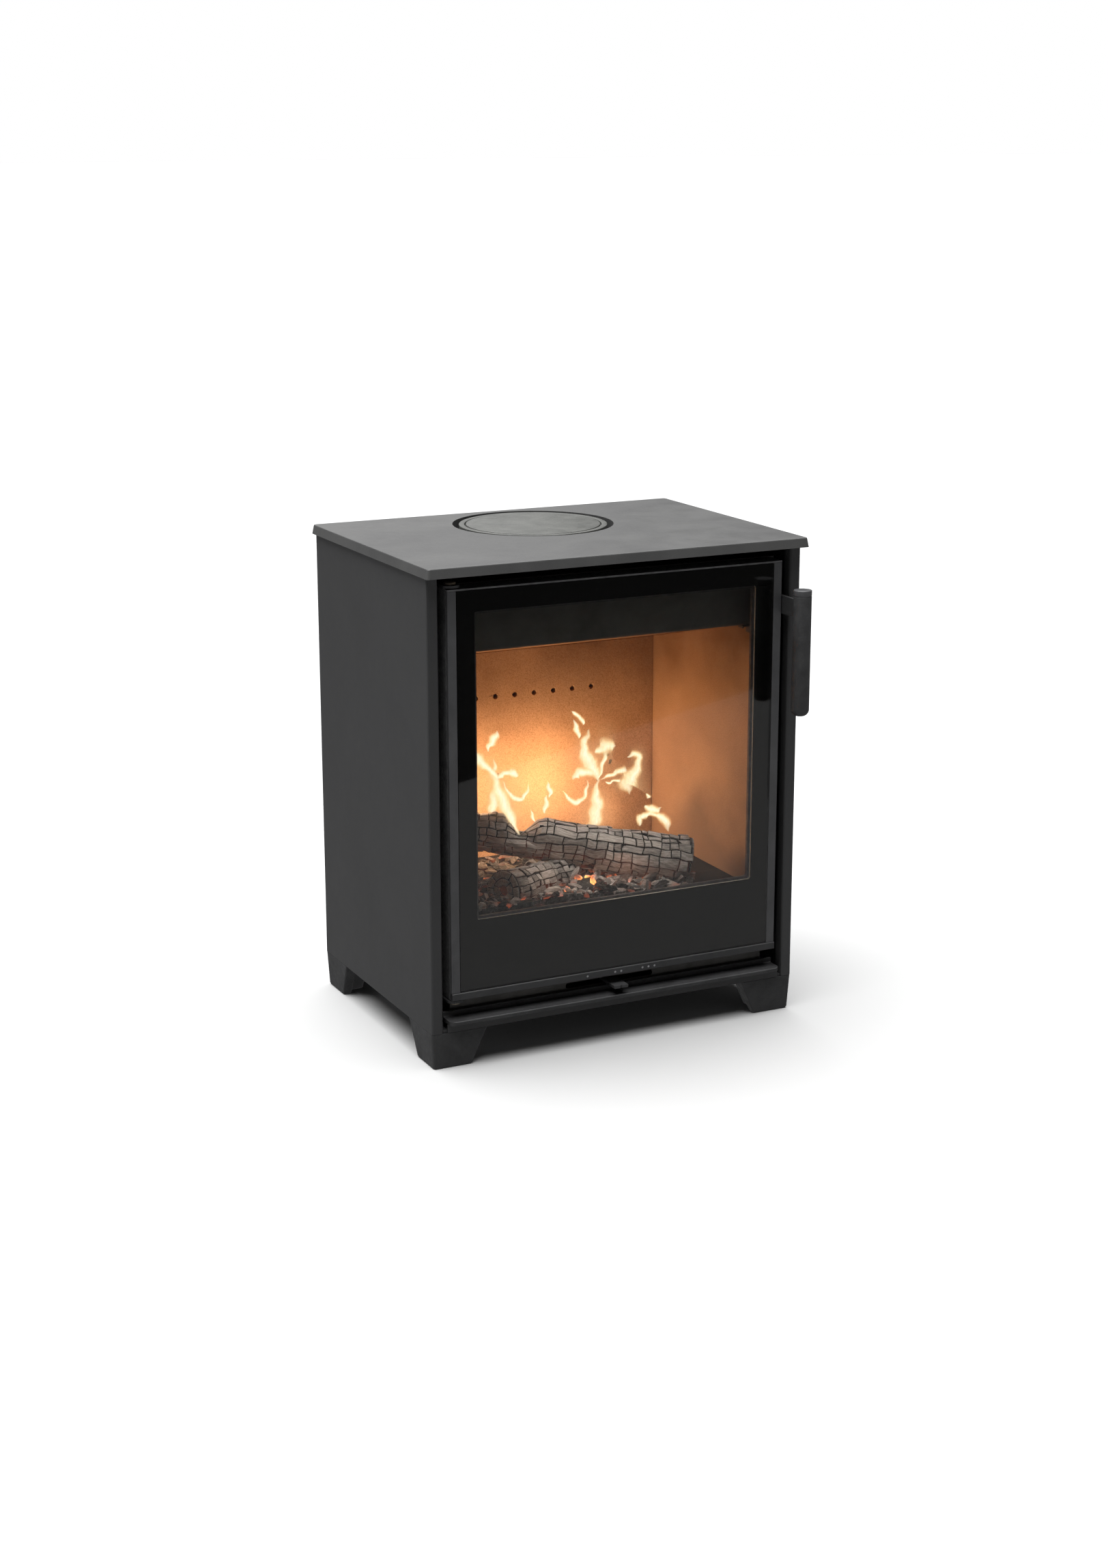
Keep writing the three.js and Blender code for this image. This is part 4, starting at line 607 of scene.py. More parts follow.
# from and to: share of the half hearth, share of its depth, height over the bricks; block: length of the
# charred blocks along the log; crest: (share, millimetres) by which the upper side rises over the round;
# burntEnd: share lost at the far end; notch: where along, how wide and how deep the top has burnt away
logs = {
    "rearLog": {"from": (-0.945, 0.676, 0.083), "to": (0.756, 0.138, 0.027), "radii": (0.018, 0.034),
                "turn": 0.6, "rows": 17, "block": 0.0115, "gap": 0.0013, "lift": 0.0015, "seed": 3,
                "pale": (0.45, 0.90), "burntEnd": 0.045, "notch": (0.386, 0.062, 0.029), "heat": 0.05,
                "crest": ((0.0, 4), (0.24, 5), (0.29, 9.5), (0.46, 8), (0.52, 4), (0.61, 0.8), (0.76, -2.6),
                          (1.0, -5)), "solid": "log_rear"},
    "frontLog": {"from": (-0.567, 0.155, 0.0235), "to": (0.060, 0.379, 0.0185), "radii": (0.0250, 0.0175),
                 "turn": 2.1, "rows": 14, "block": 0.0105, "gap": 0.0011, "lift": 0.0018, "seed": 8,
                 "pale": (0.32, 0.84), "burntEnd": 0.02, "notch": (0.62, 0.10, 0.004), "heat": 0.1,
                 "crest": ((0.0, 0), (1.0, 0)), "solid": "log_front"},
    "propLog": {"from": (-0.756, 0.411, 0.0335), "to": (-0.856, 0.849, 0.0335), "radii": (0.027, 0.026),
                "turn": 4.4, "rows": 14, "block": 0.012, "gap": 0.0011, "lift": 0.0015, "seed": 12,
                "pale": (0.25, 0.7), "burntEnd": 0.0, "notch": (0.15, 0.10, 0.006), "heat": 0.6,
                "crest": ((0.0, 0), (1.0, 0)), "solid": "log_prop"},
}
logShape = {"wander": 0.05, "flatness": 0.94, "crackDepth": 0.0040, "coreSteps": 90, "coreSunk": 0.62,
            "warp": 0.0042, "warpSize": 0.020, "warpRadius": 0.025, "tilt": 0.0010, "pits": 0.0007,
            "pitSize": 0.004, "blockSpread": (0.75, 1.3), "rowShift": 0.16, "cutShift": 0.14,
            "joinedShare": 0.22, "sunkenShare": 0.07, "glowTurn": 0.35}


class LogFrame:
    def __init__(self, spec):
        self.spec = spec
        self.start = onHearth(*spec["from"])
        self.along = onHearth(*spec["to"]) - self.start
        self.length = self.along.length
        self.forward = self.along.normalized()
        self.sideways = Vector((0, 0, 1)).cross(self.forward).normalized()
        self.upward = self.forward.cross(self.sideways)

    def radius(self, share, angle):
        low, high = self.spec["radii"]
        turn, crest, (middle, half, depth) = self.spec["turn"], self.spec["crest"], self.spec["notch"]
        swell = 1 + logShape["wander"] * math.sin(9 * share + turn)
        lobes = 1 + logShape["wander"] * math.sin(3 * angle + turn + 2 * share)
        rise = next(a[1] + (b[1] - a[1]) * (share - a[0]) / (b[0] - a[0])
                    for a, b in zip(crest, crest[1:]) if share <= b[0] or b[0] == 1.0)
        upper = max(0.0, math.sin(angle))
        burnt = depth * max(0.0, 1 - abs(share - middle) / half) * upper ** 0.5
        return (low + (high - low) * share) * swell * lobes + 0.001 * rise * upper - burnt

    def point(self, share, angle, radius):
        return keptOnHearth(self.start + self.along * share + self.sideways * radius * math.cos(angle)
                            + self.upward * radius * logShape["flatness"] * math.sin(angle))

    # the underside glows: partly the heat of the burning wood, partly painted light from the embers below
    def glow(self, angle):
        return self.spec["heat"] * max(0.0, -math.sin(angle + logShape["glowTurn"]))

    # the cracks wander: the same shift for neighbouring blocks keeps them evenly wide
    def warped(self, share, angle):
        radius, warp, size = logShape["warpRadius"], logShape["warp"], logShape["warpSize"]
        flat = (share * self.length, radius * math.cos(angle), radius * math.sin(angle))
        keep = min(1.0, 12 * share, 12 * (1 - share))
        along = warp * keep * smoothNoise(flat, size, self.spec["seed"] + 2)
        across = warp * smoothNoise(flat, size, self.spec["seed"] + 9)
        return share + along / self.length, angle + across / radius


# points, faces and the values that the charcoal finish reads
class Skin:
    def __init__(self):
        self.points, self.faces, self.grain = [], [], []
        self.values = {"tone": [], "crack": [], "glow": []}

    def addPoint(self, place, grain, *values):
        self.points.append(place)
        self.grain.extend(grain)
        for known, value in zip(self.values.values(), values):
            known.append(value)

    def addFaces(self, first, faces):
        self.faces.extend([[first + i for i in face] for face in faces])

    def mesh(self, name):
        mesh = bpy.data.meshes.new(name)
        mesh.from_pydata(self.points, [], self.faces)
        for key, values in self.values.items():
            mesh.attributes.new(key, "FLOAT", "POINT").data.foreach_set("value", values)
        mesh.attributes.new("grainPlace", "FLOAT_VECTOR", "POINT").data.foreach_set("vector", self.grain)
        bm = bmesh.new()
        bm.from_mesh(mesh)
        bmesh.ops.recalc_face_normals(bm, faces=bm.faces)
        bm.to_mesh(mesh)
        bm.free()
        return mesh


def pointsAndFaces(bm):
    bm.verts.index_update()
    points, faces = [v.co.copy() for v in bm.verts], [[v.index for v in f.verts] for f in bm.faces]
    bm.free()
    return points, faces


# a unit cube whose inner cuts lie near its edges
tile = {"cuts": 3, "inner": 1.72, "rounding": 0.0007, "chip": 1.8, "cornerLoss": 1.4, "flankCrack": 0.9,
        "faceGlow": 0.35}


def tilePattern():
    bm = bmesh.new()
    bmesh.ops.create_cube(bm, size=1.0)
    bmesh.ops.subdivide_edges(bm, edges=bm.edges[:], cuts=tile["cuts"], use_grid_fill=True)
    points, faces = pointsAndFaces(bm)
    return [tuple(tile["inner"] * c if abs(c) < 0.3 else c for c in point) for point in points], faces


tilePoints, tileFaces = tilePattern()


# one charred block: place(u, v, w) puts a corner of a unit cube, w = 0.5 being the outer face
def addTile(skin, place, grainPlace, tone, glow, rnd):
    first = len(skin.points)
    chips = {(u, v): rnd.uniform(0.0, tile["chip"]) ** 2 for u in (-0.5, 0.5) for v in (-0.5, 0.5)}
    for u, v, w in tilePoints:
        sunk = 0.0
        if w > 0.49:
            edges = (abs(u) > 0.49) + (abs(v) > 0.49)
            sunk = tile["rounding"] * (edges if edges < 2 else tile["cornerLoss"] * chips[(u, v)])
        crack, share = (0.0, tile["faceGlow"]) if w > 0.4 else (tile["flankCrack"], 1.0)
        skin.addPoint(place(u, v, w, sunk), grainPlace(u, v), tone, crack, glow * share)
    skin.addFaces(first, tileFaces)


def makeLog(name):
    spec = logs[name]
    shape, skin, rnd = LogFrame(spec), Skin(), random.Random(spec["seed"])
    block, gapAlong, rows = spec["block"] / shape.length, spec["gap"] / shape.length, spec["rows"]
    cuts = [0.0]
    while cuts[-1] < 1 - 0.6 * block:
        cuts.append(min(1.0, cuts[-1] + rnd.uniform(*logShape["blockSpread"]) * block))
    cuts[-1] = 1.0 - spec["burntEnd"]
    cuts = [c for c in cuts if c < cuts[-1] - 0.4 * block] + [cuts[-1]]
    rowShift, cutShift = logShape["rowShift"], logShape["cutShift"]
    rowEdges = [(row + rnd.uniform(-rowShift, rowShift)) / rows * 2 * math.pi for row in range(rows)]
    rowEdges.append(rowEdges[0] + 2 * math.pi)
    for row, (a0, a1) in enumerate(zip(rowEdges, rowEdges[1:])):
        middle = (a0 + a1) / 2
        rowCuts = [cuts[0]] + [c + rnd.uniform(-cutShift, cutShift) * block
                               for c in cuts[1:-1] if rnd.random() > logShape["joinedShare"]]
        rowCuts.append(cuts[-1] + spec["burntEnd"] * rnd.uniform(-0.2, 0.5) * (1 - math.sin(middle)))
        rowLift = rnd.uniform(-0.4, 0.6) * spec["lift"]
        for s0, s1 in zip(rowCuts, rowCuts[1:]):
            lift = rowLift + rnd.uniform(-0.6, 0.7) * spec["lift"]
            if rnd.random() < logShape["sunkenShare"]:
                lift -= 1.5 * spec["lift"]
            # blocks on the upper side are up to a tenth paler: painted light from above
            tone = rnd.uniform(*spec["pale"]) * (0.90 + 0.10 * max(0.0, math.sin(middle)))
            tiltAlong, tiltRound = [rnd.uniform(-1, 1) * logShape["tilt"] for _ in range(2)]

            def place(u, v, w, sunk):
                share = (s0 + s1) / 2 + u * (s1 - s0 - gapAlong)
                angle = middle + v * (a1 - a0 - spec["gap"] / shape.radius(share, middle))
                share, angle = shape.warped(share, angle)
                flat = (share * shape.length, angle * 0.02, 0)
                rough = logShape["pits"] * smoothNoise(flat, logShape["pitSize"], spec["seed"])
                raised = lift + 2 * u * tiltAlong + 2 * v * tiltRound - sunk + rough
                radius = shape.radius(share, angle) - logShape["crackDepth"] * (0.5 - w)
                return shape.point(share, angle, radius + raised)

            def grainPlace(u, v):
                return ((s0 + u * (s1 - s0)) * shape.length, (a0 + v * (a1 - a0)) * 0.03 + tone * 3, row * 0.7)

            addTile(skin, place, grainPlace, tone, shape.glow(middle), rnd)
    for share, outward in ((0.0, -1), (1.0 - 0.9 * spec["burntEnd"], 1)):
        addEndTiles(skin, shape, share, outward, rnd)
    addCore(skin, shape)
    addPiece(name, skin.mesh(name), "logChar", "stove", smooth=False, solid=spec["solid"])


# the sawn end: two rings of wedges round a burnt-out heart, as (inner radius, outer radius, wedges)
endTiles = {"rings": ((0.28, 0.60, 6), (0.65, 0.97, 9)), "wedge": 0.88, "depth": 0.0030, "sunk": 0.0012}


def addEndTiles(skin, shape, share, outward, rnd):
    for inner, outer, count in endTiles["rings"]:
        shift = rnd.uniform(0, 1)
        for wedge in range(count):
            a0 = (wedge + shift) / count * 2 * math.pi
            a1 = a0 + 2 * math.pi / count
            lift = rnd.uniform(-0.0010, 0.0018)
            tone = rnd.uniform(0.4, 0.9)

            def place(u, v, w, sunk):
                angle = (a0 + a1) / 2 + u * (a1 - a0) * endTiles["wedge"]
                radius = shape.radius(share, angle) * (inner + (v + 0.5) * (outer - inner))
                out = (w + 0.5) * endTiles["depth"] - endTiles["sunk"] + (lift if w > 0 else 0) - sunk
                return shape.point(share, angle, radius) + shape.forward * outward * out

            def grainPlace(u, v):
                return ((inner + v) * 0.05, (a0 + u) * 0.02, tone * 4)

            addTile(skin, place, grainPlace, tone, 0.0, rnd)


# the core of the log under its blocks, seen in the cracks between them: near black, painted shade over the
# char's own black
def addCore(skin, shape):
    first, steps, sides = len(skin.points), logShape["coreSteps"], 2 * shape.spec["rows"]
    for step in range(steps + 1):
        share = step / steps * (1 - shape.spec["burntEnd"])
        for side in range(sides):
            angle = side / sides * 2 * math.pi
            radius = shape.radius(share, angle) - logShape["coreSunk"] * logShape["crackDepth"]
            skin.addPoint(shape.point(share, angle, radius), (share, angle, 0), 0.0, 1.0, shape.glow(angle))
    for low in range(0, steps * sides, sides):
        skin.addFaces(first + low, [[side, (side + 1) % sides, (side + 1) % sides + sides, side + sides]
                                    for side in range(sides)])
    skin.addFaces(first, [reversed(range(sides)), range(steps * sides, (steps + 1) * sides)])


emberBed = {"across": (-0.97, 0.66), "deep": (0.01, 0.9), "foot": 0.0003, "low": 0.002, "height": 0.015,
            "lumps": 0.004, "cells": (110, 76), "fine": 0.0016, "ashSunk": 0.0014, "calmRim": 25}


def bedHeight(u, v):
    fall = (1 - u ** 4) * (1 - v ** 2)
    lumps = emberBed["lumps"] * math.sin(11 * u + 5 * v) * math.sin(17 * v - 6 * u + 1) * (1 - v)
    return emberBed["low"] + max(0.0, emberBed["height"] * fall + lumps)


def onBed(u, v, height):
    (left, right), (near, far) = emberBed["across"], emberBed["deep"]
    return onHearth(left + u * (right - left), near + v * (far - near), height)


def makeAsh():
    bm = bmesh.new()
    columns, rows = emberBed["cells"]
    bmesh.ops.create_grid(bm, x_segments=columns, y_segments=rows, size=0.5)
    under = bmesh.ops.duplicate(bm, geom=bm.faces[:])
    lower = {g for g in under["geom"] if isinstance(g, bmesh.types.BMVert)}
    for vert in bm.verts:
        u, v = vert.co.x + 0.5, vert.co.y + 0.5
        rim = min(1.0, *(emberBed["calmRim"] * away for away in (u, 1 - u, v, 1 - v)))
        rough = emberBed["fine"] * (smoothNoise((u, v, 0), 0.045, 1) + 0.6 * smoothNoise((u, v, 0), 0.016, 6))
        upper = bedHeight(u, v) - emberBed["ashSunk"] + rim * rough
        vert.co = onBed(u, v, emberBed["foot"] if vert in lower else upper)
    bmesh.ops.bridge_loops(bm, edges=[e for e in bm.edges if e.is_boundary])
    addPiece("ashBed", bm, "ash", "stove", solid="ember_bed")


# the splinters before the front log lie low and small
embers = {"count": 400, "size": (0.0038, 0.0115), "seed": 5, "cuts": 8, "cutDepth": (0.22, 0.62),
          "stretch": ((1.1, 2.4), (0.8, 1.2), (0.55, 0.9)), "beforeLog": (0.62, 0.24), "sizes": (0.95, 0.62),
          "lifts": (0.75, 0.25), "paleBefore": 0.3, "hotReach": 0.042,
          "hotSpots": ((0.62, 0.24), (0.69, 0.28), (0.42, 0.46), (0.28, 0.52), (0.53, 0.12), (0.84, 0.20))}


# splintered charcoal: balls cut flat on random sides, lying over the ash
def makeEmbers():
    rnd = random.Random(embers["seed"])
    bm = bmesh.new()
    bmesh.ops.create_icosphere(bm, subdivisions=2, radius=1.0)
    ball, ballFaces = pointsAndFaces(bm)
    shapes = [LogFrame(spec) for spec in logs.values()]
    skin = Skin()
    made = 0
    while made < embers["count"]:
        u, v = rnd.uniform(0.0, 0.97), rnd.random() ** 1.7
        beforeLog = u < embers["beforeLog"][0] and v < embers["beforeLog"][1]
        size = rnd.uniform(*embers["size"]) * embers["sizes"][beforeLog]
        centre = onBed(u, v, bedHeight(u, v) + size * rnd.uniform(-0.35, embers["lifts"][beforeLog]))
        if any(insideLog(shape, centre, size * 0.4) for shape in shapes):
            continue
        made += 1
        turn = (Matrix.Rotation(rnd.uniform(0, 6.3), 3, "Z") @ Matrix.Rotation(rnd.uniform(-0.5, 0.5), 3, "Y")
                @ Matrix.Rotation(rnd.uniform(0, 6.3), 3, "X"))
        stretch = Vector([rnd.uniform(*sizes) for sizes in embers["stretch"]])
        planes = [(Vector([rnd.uniform(-1, 1) for _ in range(3)]).normalized(),
                   rnd.uniform(*embers["cutDepth"])) for _ in range(embers["cuts"])]
        near = min((Vector((u, v)) - Vector(spot)).length for spot in embers["hotSpots"])
        isHot = near < embers["hotReach"]
        heat = rnd.uniform(0.5, 1.6) if isHot else 0.5 * rnd.random() ** 9
        tone = rnd.random() ** 0.8 if v < embers["paleBefore"] else rnd.random() * 0.5
        first = len(skin.points)
        for corner in ball:
            spot = corner.copy()
            for normal, limit in planes:
                spot -= normal * max(0.0, spot.dot(normal) - limit)
            spot = Vector([a * b for a, b in zip(spot, stretch)])
            place = keptOnHearth(centre + turn @ (spot * size))
            place.x = max(place.x, hearth["wallClear"] - hearth["half"])
            low = max(0.0, (1.1 if isHot else 0.6) - (place.z - centre.z) / size)
            skin.addPoint(place, spot * size + Vector((made * 0.31, 0, 0)), tone, 0.0, heat * min(1.0, low))
        skin.addFaces(first, ballFaces)
    addPiece("emberChunks", skin.mesh("emberChunks"), "emberChar", "stove", smooth=False)


def insideLog(shape, place, margin):
    share = (place - shape.start).dot(shape.forward) / shape.length
    if not -0.05 < share < 1.05:
        return False
    away = (place - shape.start - shape.along * share).length
    return away < shape.radius(min(max(share, 0), 1), math.pi / 2) - margin


for logName in logs:
    makeLog(logName)
makeEmbers()
makeAsh()
print("logs, embers and ash made")

# each flame is a tongue in the plane y, through (x, z, half width) in millimetres from its foot to its tip
flames = {
    "flameLeft": (0.012, [(-57.2, 224.9, 0.7), (-62.1, 235.4, 3.1), (-69.4, 250.3, 5.8), (-77.1, 266.7, 6.8),
        (-83.8, 282.9, 5.8), (-87.9, 297.3, 4.1), (-90.9, 308.6, 3.1), (-89.3, 318.1, 1.9),
        (-90.8, 326.8, 0.5)]),
    "flameLeftFoot": (0.02, [(-90.7, 254.8, 4.4), (-88.5, 264.9, 5.8), (-86.9, 275.7, 5.3), (-84.8, 286.5, 3.4),
        (-83.2, 296, 1.9)]),
    "flameLeftWing": (0.006, [(-120.1, 338.6, 2.4), (-115.1, 330.9, 6.3), (-107.5, 322.5, 4.4),
        (-99.3, 315.3, 3.1), (-91.1, 305.7, 2.4), (-87.8, 298.7, 1)]),
    "flameLeftHook": (0.004, [(-90, 303.1, 2.4), (-84.8, 306.9, 3.1), (-77.5, 308.5, 2.9), (-70.3, 308.1, 4.4),
        (-65.1, 304.6, 3.1), (-63.6, 300.5, 0.7)]),
    "flameLeftTop": (0.016, [(-97.2, 335.5, 0.7), (-95.1, 342, 2.9), (-90.9, 347.6, 4.4), (-86.2, 354.4, 3.9),
        (-83.1, 359.6, 0.7)]),
    "flameLeftCurl": (0.014, [(-77.6, 295.6, 0.5), (-72.5, 284.5, 1.5), (-65.2, 274.6, 2.4),
        (-56.1, 270.1, 2.7), (-49, 272.4, 2.2), (-44.5, 280.2, 1.7), (-41.6, 290.2, 0.2)]),
    "flameMiddle": (0.02, [(-18.2, 246, 1.2), (-16.1, 254.9, 3.1), (-15, 263.4, 1.9), (-16.1, 269.7, 0.5)]),
    "flameMiddleTop": (0.022, [(-9.8, 264.3, 0.5), (-8.7, 270.8, 2.2), (-10.8, 277.8, 2.7), (-13, 286.2, 0.5)]),
    "flameMiddleLow": (0.018, [(-32.4, 237.3, 0.7), (-35.6, 245.4, 2.2), (-38.5, 254.4, 0.2)]),
    "flameCentre": (0.005, [(43.5, 224.7, 6.3), (45, 235, 7.7), (47.1, 247.2, 7.5), (48.1, 258.3, 6.3),
        (46.2, 269.7, 4.4), (48.8, 278.9, 1.9), (49.3, 286.7, 1.5)]),
    "flameCentreUpper": (0.003, [(49.1, 285.3, 1), (45, 294.6, 5.3), (38.8, 304.5, 8.2), (32.3, 316.3, 7.3),
        (28.5, 326.5, 4.8), (29.6, 336.2, 4.1), (33.8, 345.1, 2.7), (36.4, 351.6, 0.5)]),
    "flameCentreArm": (0, [(38.9, 295.3, 3.4), (29.3, 298.6, 3.9), (20.8, 298.1, 4.8), (14.9, 294.9, 3.6),
        (12.3, 289.8, 0.7)]),
    "flameCentreStrand": (0.001, [(47.3, 285, 1), (50.2, 293.8, 1.7), (53.8, 305, 1.9), (57, 315.2, 2.4),
        (59.6, 321.1, 2.9)]),
    "flameCentreFlag": (-0.001, [(41.5, 322.3, 1), (50, 324.6, 4.4), (57.5, 329.2, 7.7), (65, 328.3, 5.3),
        (71.5, 327.1, 0.5)]),
    "flameCentreTop": (0.008, [(24.6, 340, 0.7), (22.5, 348.1, 2.7), (19.8, 355.7, 2.9), (17.4, 364.5, 0.5)]),
    "flameCentreTip": (0.009, [(30.4, 356.3, 0.5), (29.3, 362.3, 2.2), (23.9, 368.2, 2.2), (18.1, 373.2, 1.5),
        (12.8, 376.7, 0.2)]),
    "flameCentreCurl": (0.01, [(2.9, 274.6, 0.5), (9.4, 265.9, 2.2), (18.4, 258.2, 3.1), (28.1, 259, 2.7),
        (33.9, 267, 2.2), (36.6, 276.1, 1.7), (37.3, 284.4, 0.5)]),
    "flameRight": (0.01, [(93.6, 307.8, 0.7), (101.7, 311.4, 2.9), (108.8, 308.1, 3.4), (109.5, 298.5, 3.6),
        (104.1, 287.9, 6.3), (96.6, 278.8, 9.2), (92.8, 272.5, 8.2), (95.6, 265.2, 3.1), (97.9, 258.4, 0.5)]),
    "flameRightTail": (0.012, [(91.5, 292.6, 3.6), (82, 289.7, 3.1), (72.6, 287.3, 2.2), (64.5, 285.3, 1.5),
        (55.3, 283.1, 0.2)]),
    "flameRightWisp": (0.013, [(84, 278.3, 1.9), (75.9, 278.3, 1.2), (68.3, 276.6, 1.2), (64.5, 278.6, 0.2)]),
    "flameSmall": (-0.015, [(99.8, 223.3, 1.2), (97.5, 230.6, 3.4), (102.4, 236, 3.6), (111.9, 237.9, 2.2),
        (122.1, 235.1, 2.9), (132, 228.9, 4.6), (138.2, 220, 3.9), (139.4, 211.3, 0.7)]),
    "flameSmallTop": (-0.018, [(104.7, 249.7, 1.2), (108.3, 246.8, 4.1), (115.7, 243.9, 4.8),
        (123.1, 242.3, 2.9), (127.4, 245.7, 0.5)]),
    "flameSmallDot": (-0.018, [(107, 265.2, 0.7), (108.4, 261.5, 2.4), (108.1, 258.6, 0.7)]),
}
flameShape = {"widen": {"flame": 1.9, "flameVeil": 4.6}, "thickness": 0.3, "thin": 0.2, "sides": 20, "steps": 7,
              "veilFrom": 6, "sway": 0.002, "swayStep": 0.55, "swayStart": 300}


def smoothPath(path, steps):
    ends = [path[0]] + path + [path[-1]]
    result = []
    for i in range(1, len(ends) - 2):
        before, here, there, after = (Vector(p) for p in ends[i - 1:i + 3])
        bend, twist = 2 * before - 5 * here + 4 * there - after, 3 * here - before - 3 * there + after
        for k in range(steps):
            t = k / steps
            result.append(0.5 * (2 * here + (there - before) * t + bend * t * t + twist * t ** 3))
    return result + [Vector(path[-1])]


def makeFlame(name, finish, y, stations):
    path = smoothPath(stations, flameShape["steps"])
    sides = flameShape["sides"]
    bm = bmesh.new()
    across, along = (bm.verts.layers.float.new(layer) for layer in ("across", "along"))
    rings = []
    for i, station in enumerate(path):
        ahead = path[min(i + 1, len(path) - 1)] - path[max(i - 1, 0)]
        heading = math.atan2(ahead.y, ahead.x)
        width = flameShape["widen"][finish] * max(station.z, flameShape["thin"]) / 1000
        sway = flameShape["sway"] * math.sin(i * flameShape["swayStep"] + y * flameShape["swayStart"])
        place = (Matrix.Translation((station.x / 1000, y + sway, station.y / 1000))
                 @ Matrix.Rotation(-heading, 4, "Y") @ Matrix.Rotation(math.pi / 2, 4, "Y"))
        flat = Matrix.Diagonal((width, width * flameShape["thickness"], 1, 1))
        made = bmesh.ops.create_circle(bm, segments=sides, radius=1.0, cap_ends=False, matrix=place @ flat)
        for k, vert in enumerate(made["verts"]):
            vert[across] = abs(math.sin(2 * math.pi * k / sides))
            vert[along] = i / (len(path) - 1)
        rings.append(set(made["verts"]))
    bridgeRings(bm, rings)
    closeEnds(bm)
    piece = addPiece(name, bm, finish, "stove")
    piece.visible_shadow = piece.visible_diffuse = False


for name, (y, stations) in flames.items():
    makeFlame(name, "flame", y, stations)
    if max(width for _, _, width in stations) > flameShape["veilFrom"]:
        makeFlame(name + "Veil", "flameVeil", y, stations)
print("flames made:", len(flames))

# ---- studio: floor, soft lights, fire light and camera
camera = {"place": (-1.3206, -2.6721, 1.0853), "yaw": 26.08, "pitch": 15.01, "roll": 0.06, "lens": 57.06,
          "sensor": 36, "clip": (0.05, 200)}
studio = {"floorTone": (0.37, 0.37, 0.37), "floorSize": 60, "skyCamera": 1.0, "skyDiffuse": 0.10,
          "skyGlossy": 0.03, "cardFront": -1.06, "cardRadiance": 0.27, "cardSize": 20, "cardDrop": 0.001}
overhead = {"place": (0, 0, 0), "aim": (0.12, -0.09, -1), "watts": 10.2, "tone": (1, 1, 1), "spread": 70}
softLights = {
    "leftFill": {"place": (-3.2, 1.2, 1.2), "aim": (0, 0, 0.3), "size": (1.6, 2.2), "watts": 11,
                 "tone": (0.97, 0.98, 1)},
    "rearFill": {"place": (0.6, 3.2, 1.7), "aim": (0, 0, 0.3), "size": (2.0, 1.6), "watts": 10,
                 "tone": (1, 1, 1)},
}
# each as its place, radius, watts and tone
fireLights = {
    "leftFlameLight": ((-0.095, 0.066, 0.262), 0.025, 0.86, (1, 0.595, 0.32)),
    "centreFlameLight": ((0.038, 0.072, 0.252), 0.025, 0.84, (1, 0.595, 0.32)),
    "cornerGlowLight": ((0.130, 0.112, 0.200), 0.015, 0.04, (1, 0.62, 0.36)),
    "emberLight": ((-0.050, -0.088, 0.200), 0.030, 0.050, (1, 0.72, 0.56)),
    "bedGlowLight": ((0.040, -0.088, 0.184), 0.020, 0.038, (1, 0.60, 0.45)),
    "underLogLight": ((-0.015, -0.024, 0.178), 0.012, 0.100, (1, 0.56, 0.38)),
}
# daylight that falls through the glass on the logs
windowLight = {"place": (0.03, -0.098, 0.478), "aim": (0.035, -0.030, 0.20), "cone": 62, "blend": 0.7,
               "radius": 0.04, "watts": 2.9, "tone": (1, 0.95, 0.90)}


def addStagePlane(name, made, cells, size, matrix=Matrix.Identity(4)):
    bm = bmesh.new()
    bmesh.ops.create_grid(bm, x_segments=cells, y_segments=cells, size=size, matrix=matrix)
    plane = bpy.data.objects.new(name, meshFrom(bm, name, False))
    bpy.context.scene.collection.objects.link(plane)
    plane.data.materials.append(made.owner)
    return plane


# what tells kinds of ray apart, and a value that is 1 once something has mirrored or scattered the ray
def pathOf(made):
    rays = made.start("LightPath").outputs
    return rays, made.plus(rays["Glossy Depth"], rays["Diffuse Depth"])


def makeStage():
    made = Nodes(bpy.data.materials.new("studioFloor"))
    made.shade({"Base Color": (*studio["floorTone"], 1), "Roughness": 0.8, "Specular IOR Level": 0.0})
    floor = addStagePlane("studioFloor", made, 2, studio["floorSize"])
    floor.visible_glossy = False
    # the floor is seen through the door glass, but rays that the glass mirrors pass it to the card below
    rays, bounced = pathOf(made)
    veil = made.add("MixShader", {0: made.times(bounced, rays["Is Transmission Ray"]),
                                  1: made.tree.nodes["Principled BSDF"].outputs[0],
                                  2: made.start("BsdfTransparent").outputs[0]})
    made.put(made.tree.nodes["Material Output"].inputs["Surface"], veil.outputs[0])
    # what the door glass mirrors: the lit floor, up to its front edge
    made = Nodes(bpy.data.materials.new("floorMirrored"))
    made.shade({"Base Color": (0, 0, 0, 1), "Specular IOR Level": 0.0, "Emission Color": (1, 1, 1, 1),
                "Emission Strength": studio["cardRadiance"]})
    size = studio["cardSize"]
    shift = Matrix.Translation((0, size + studio["cardFront"], -studio["cardDrop"]))
    turn = Matrix.Rotation(-math.radians(camera["yaw"]), 4, "Z")
    card = addStagePlane("floorMirrored", made, 1, size, turn @ shift)
    card.visible_camera = card.visible_diffuse = card.visible_shadow = False


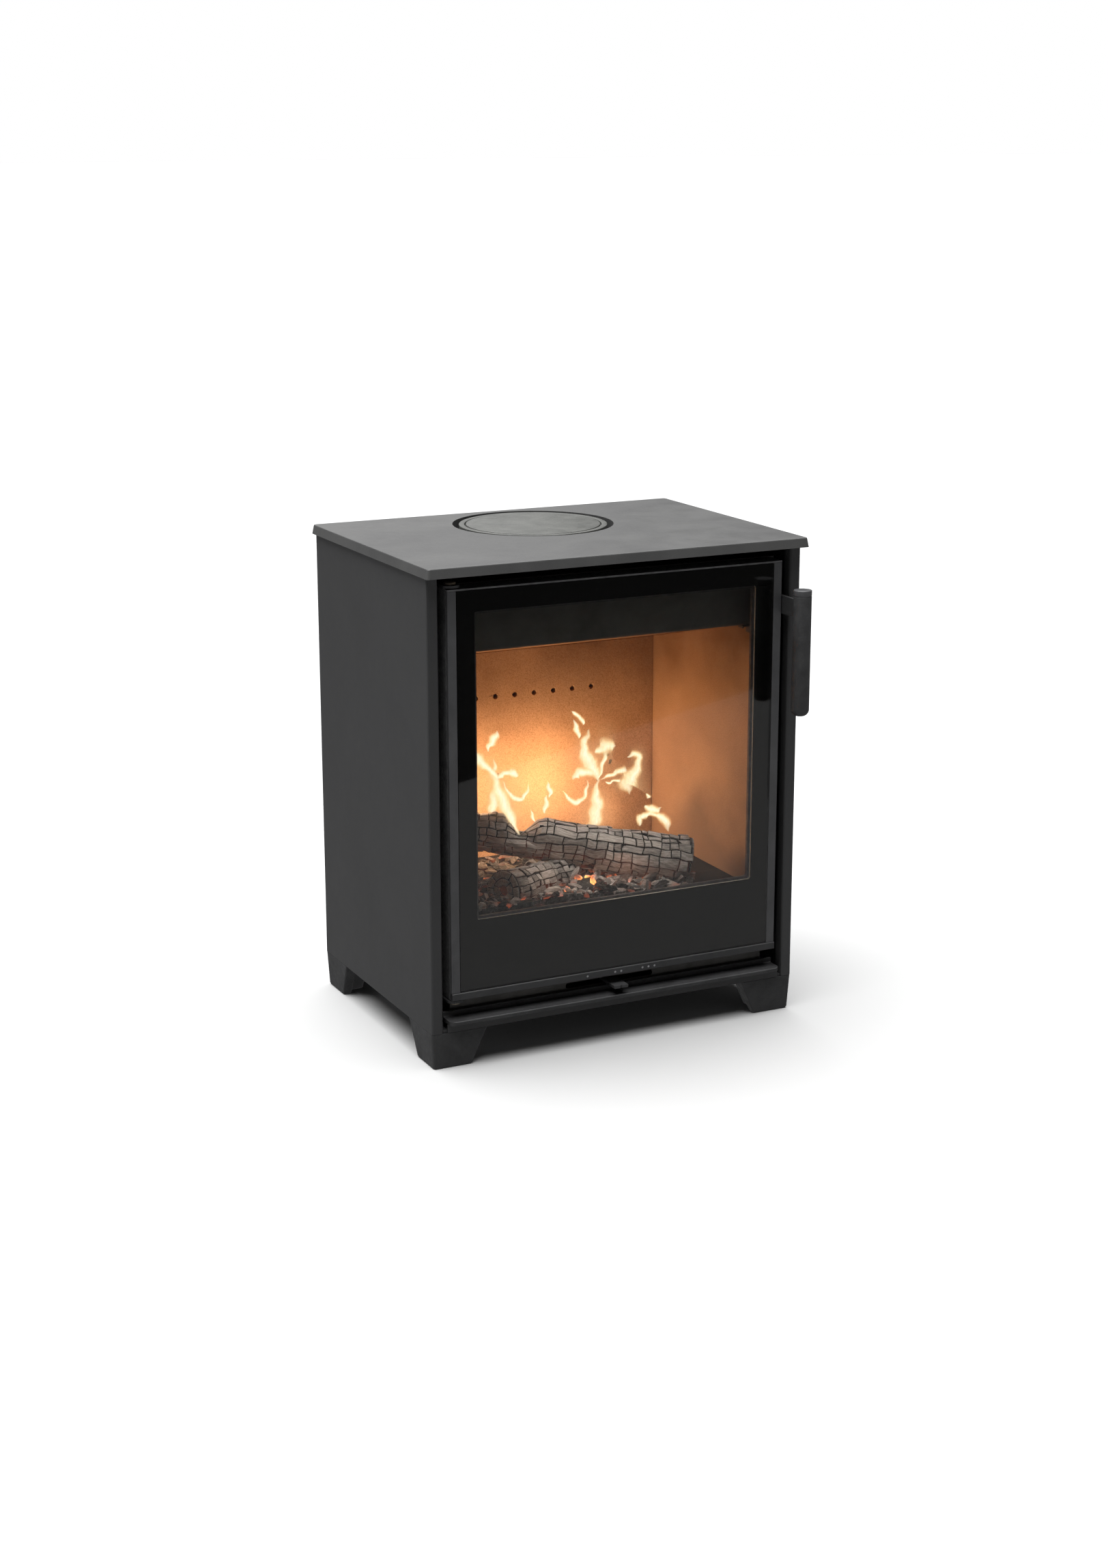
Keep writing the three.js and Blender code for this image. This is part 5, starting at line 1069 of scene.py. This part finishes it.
def makeSky():
    world = bpy.data.worlds.new("studio")
    bpy.context.scene.world = world
    made = Nodes(world)
    rays, bounced = pathOf(made)
    seenThrough = made.times(rays["Is Transmission Ray"], made.combine("SUBTRACT", 1.0, bounced))
    total = made.times(seenThrough, studio["skyCamera"])
    for output in ("Camera", "Diffuse", "Glossy"):
        total = made.plus(total, made.times(rays["Is " + output + " Ray"], studio["sky" + output]))
    background = made.tree.nodes["Background"]
    made.put(background.inputs["Strength"], total)
    made.put(background.inputs["Color"], (1, 1, 1, 1))


def addLamp(name, kind, spec):
    lamp = bpy.data.lights.new(name, kind)
    lamp.energy, lamp.color = spec["watts"], spec["tone"]
    holder = bpy.data.objects.new(name, lamp)
    holder.location = spec["place"]
    if "aim" in spec:
        aim = Vector(spec["aim"]) - Vector(spec["place"])
        holder.rotation_euler = aim.to_track_quat("-Z", "Y").to_euler()
    if "radius" in spec:
        lamp.shadow_soft_size = spec["radius"]
        holder.visible_glossy = holder.visible_transmission = False
    holder.visible_camera = kind == "SUN"
    bpy.context.scene.collection.objects.link(holder)
    return lamp


def makeLights():
    addLamp("overhead", "SUN", overhead).angle = math.radians(overhead["spread"])
    for name, spec in softLights.items():
        lamp = addLamp(name, "AREA", spec)
        lamp.shape = "RECTANGLE"
        lamp.size, lamp.size_y = spec["size"]
    for name, spec in fireLights.items():
        addLamp(name, "POINT", dict(zip(("place", "radius", "watts", "tone"), spec)))
    lamp = addLamp("windowLight", "SPOT", windowLight)
    lamp.spot_size, lamp.spot_blend = math.radians(windowLight["cone"]), windowLight["blend"]


def makeCamera():
    data = bpy.data.cameras.new("camera")
    data.lens, data.sensor_width = camera["lens"], camera["sensor"]
    data.clip_start, data.clip_end = camera["clip"]
    holder = bpy.data.objects.new("camera", data)
    holder.location = camera["place"]
    holder.rotation_euler = (math.radians(90 - camera["pitch"]), math.radians(camera["roll"]),
                             -math.radians(camera["yaw"]))
    bpy.context.scene.collection.objects.link(holder)
    bpy.context.scene.camera = holder


makeStage()
makeSky()
makeLights()
makeCamera()
bpy.context.scene.view_settings.view_transform = "Standard"
print("studio made")
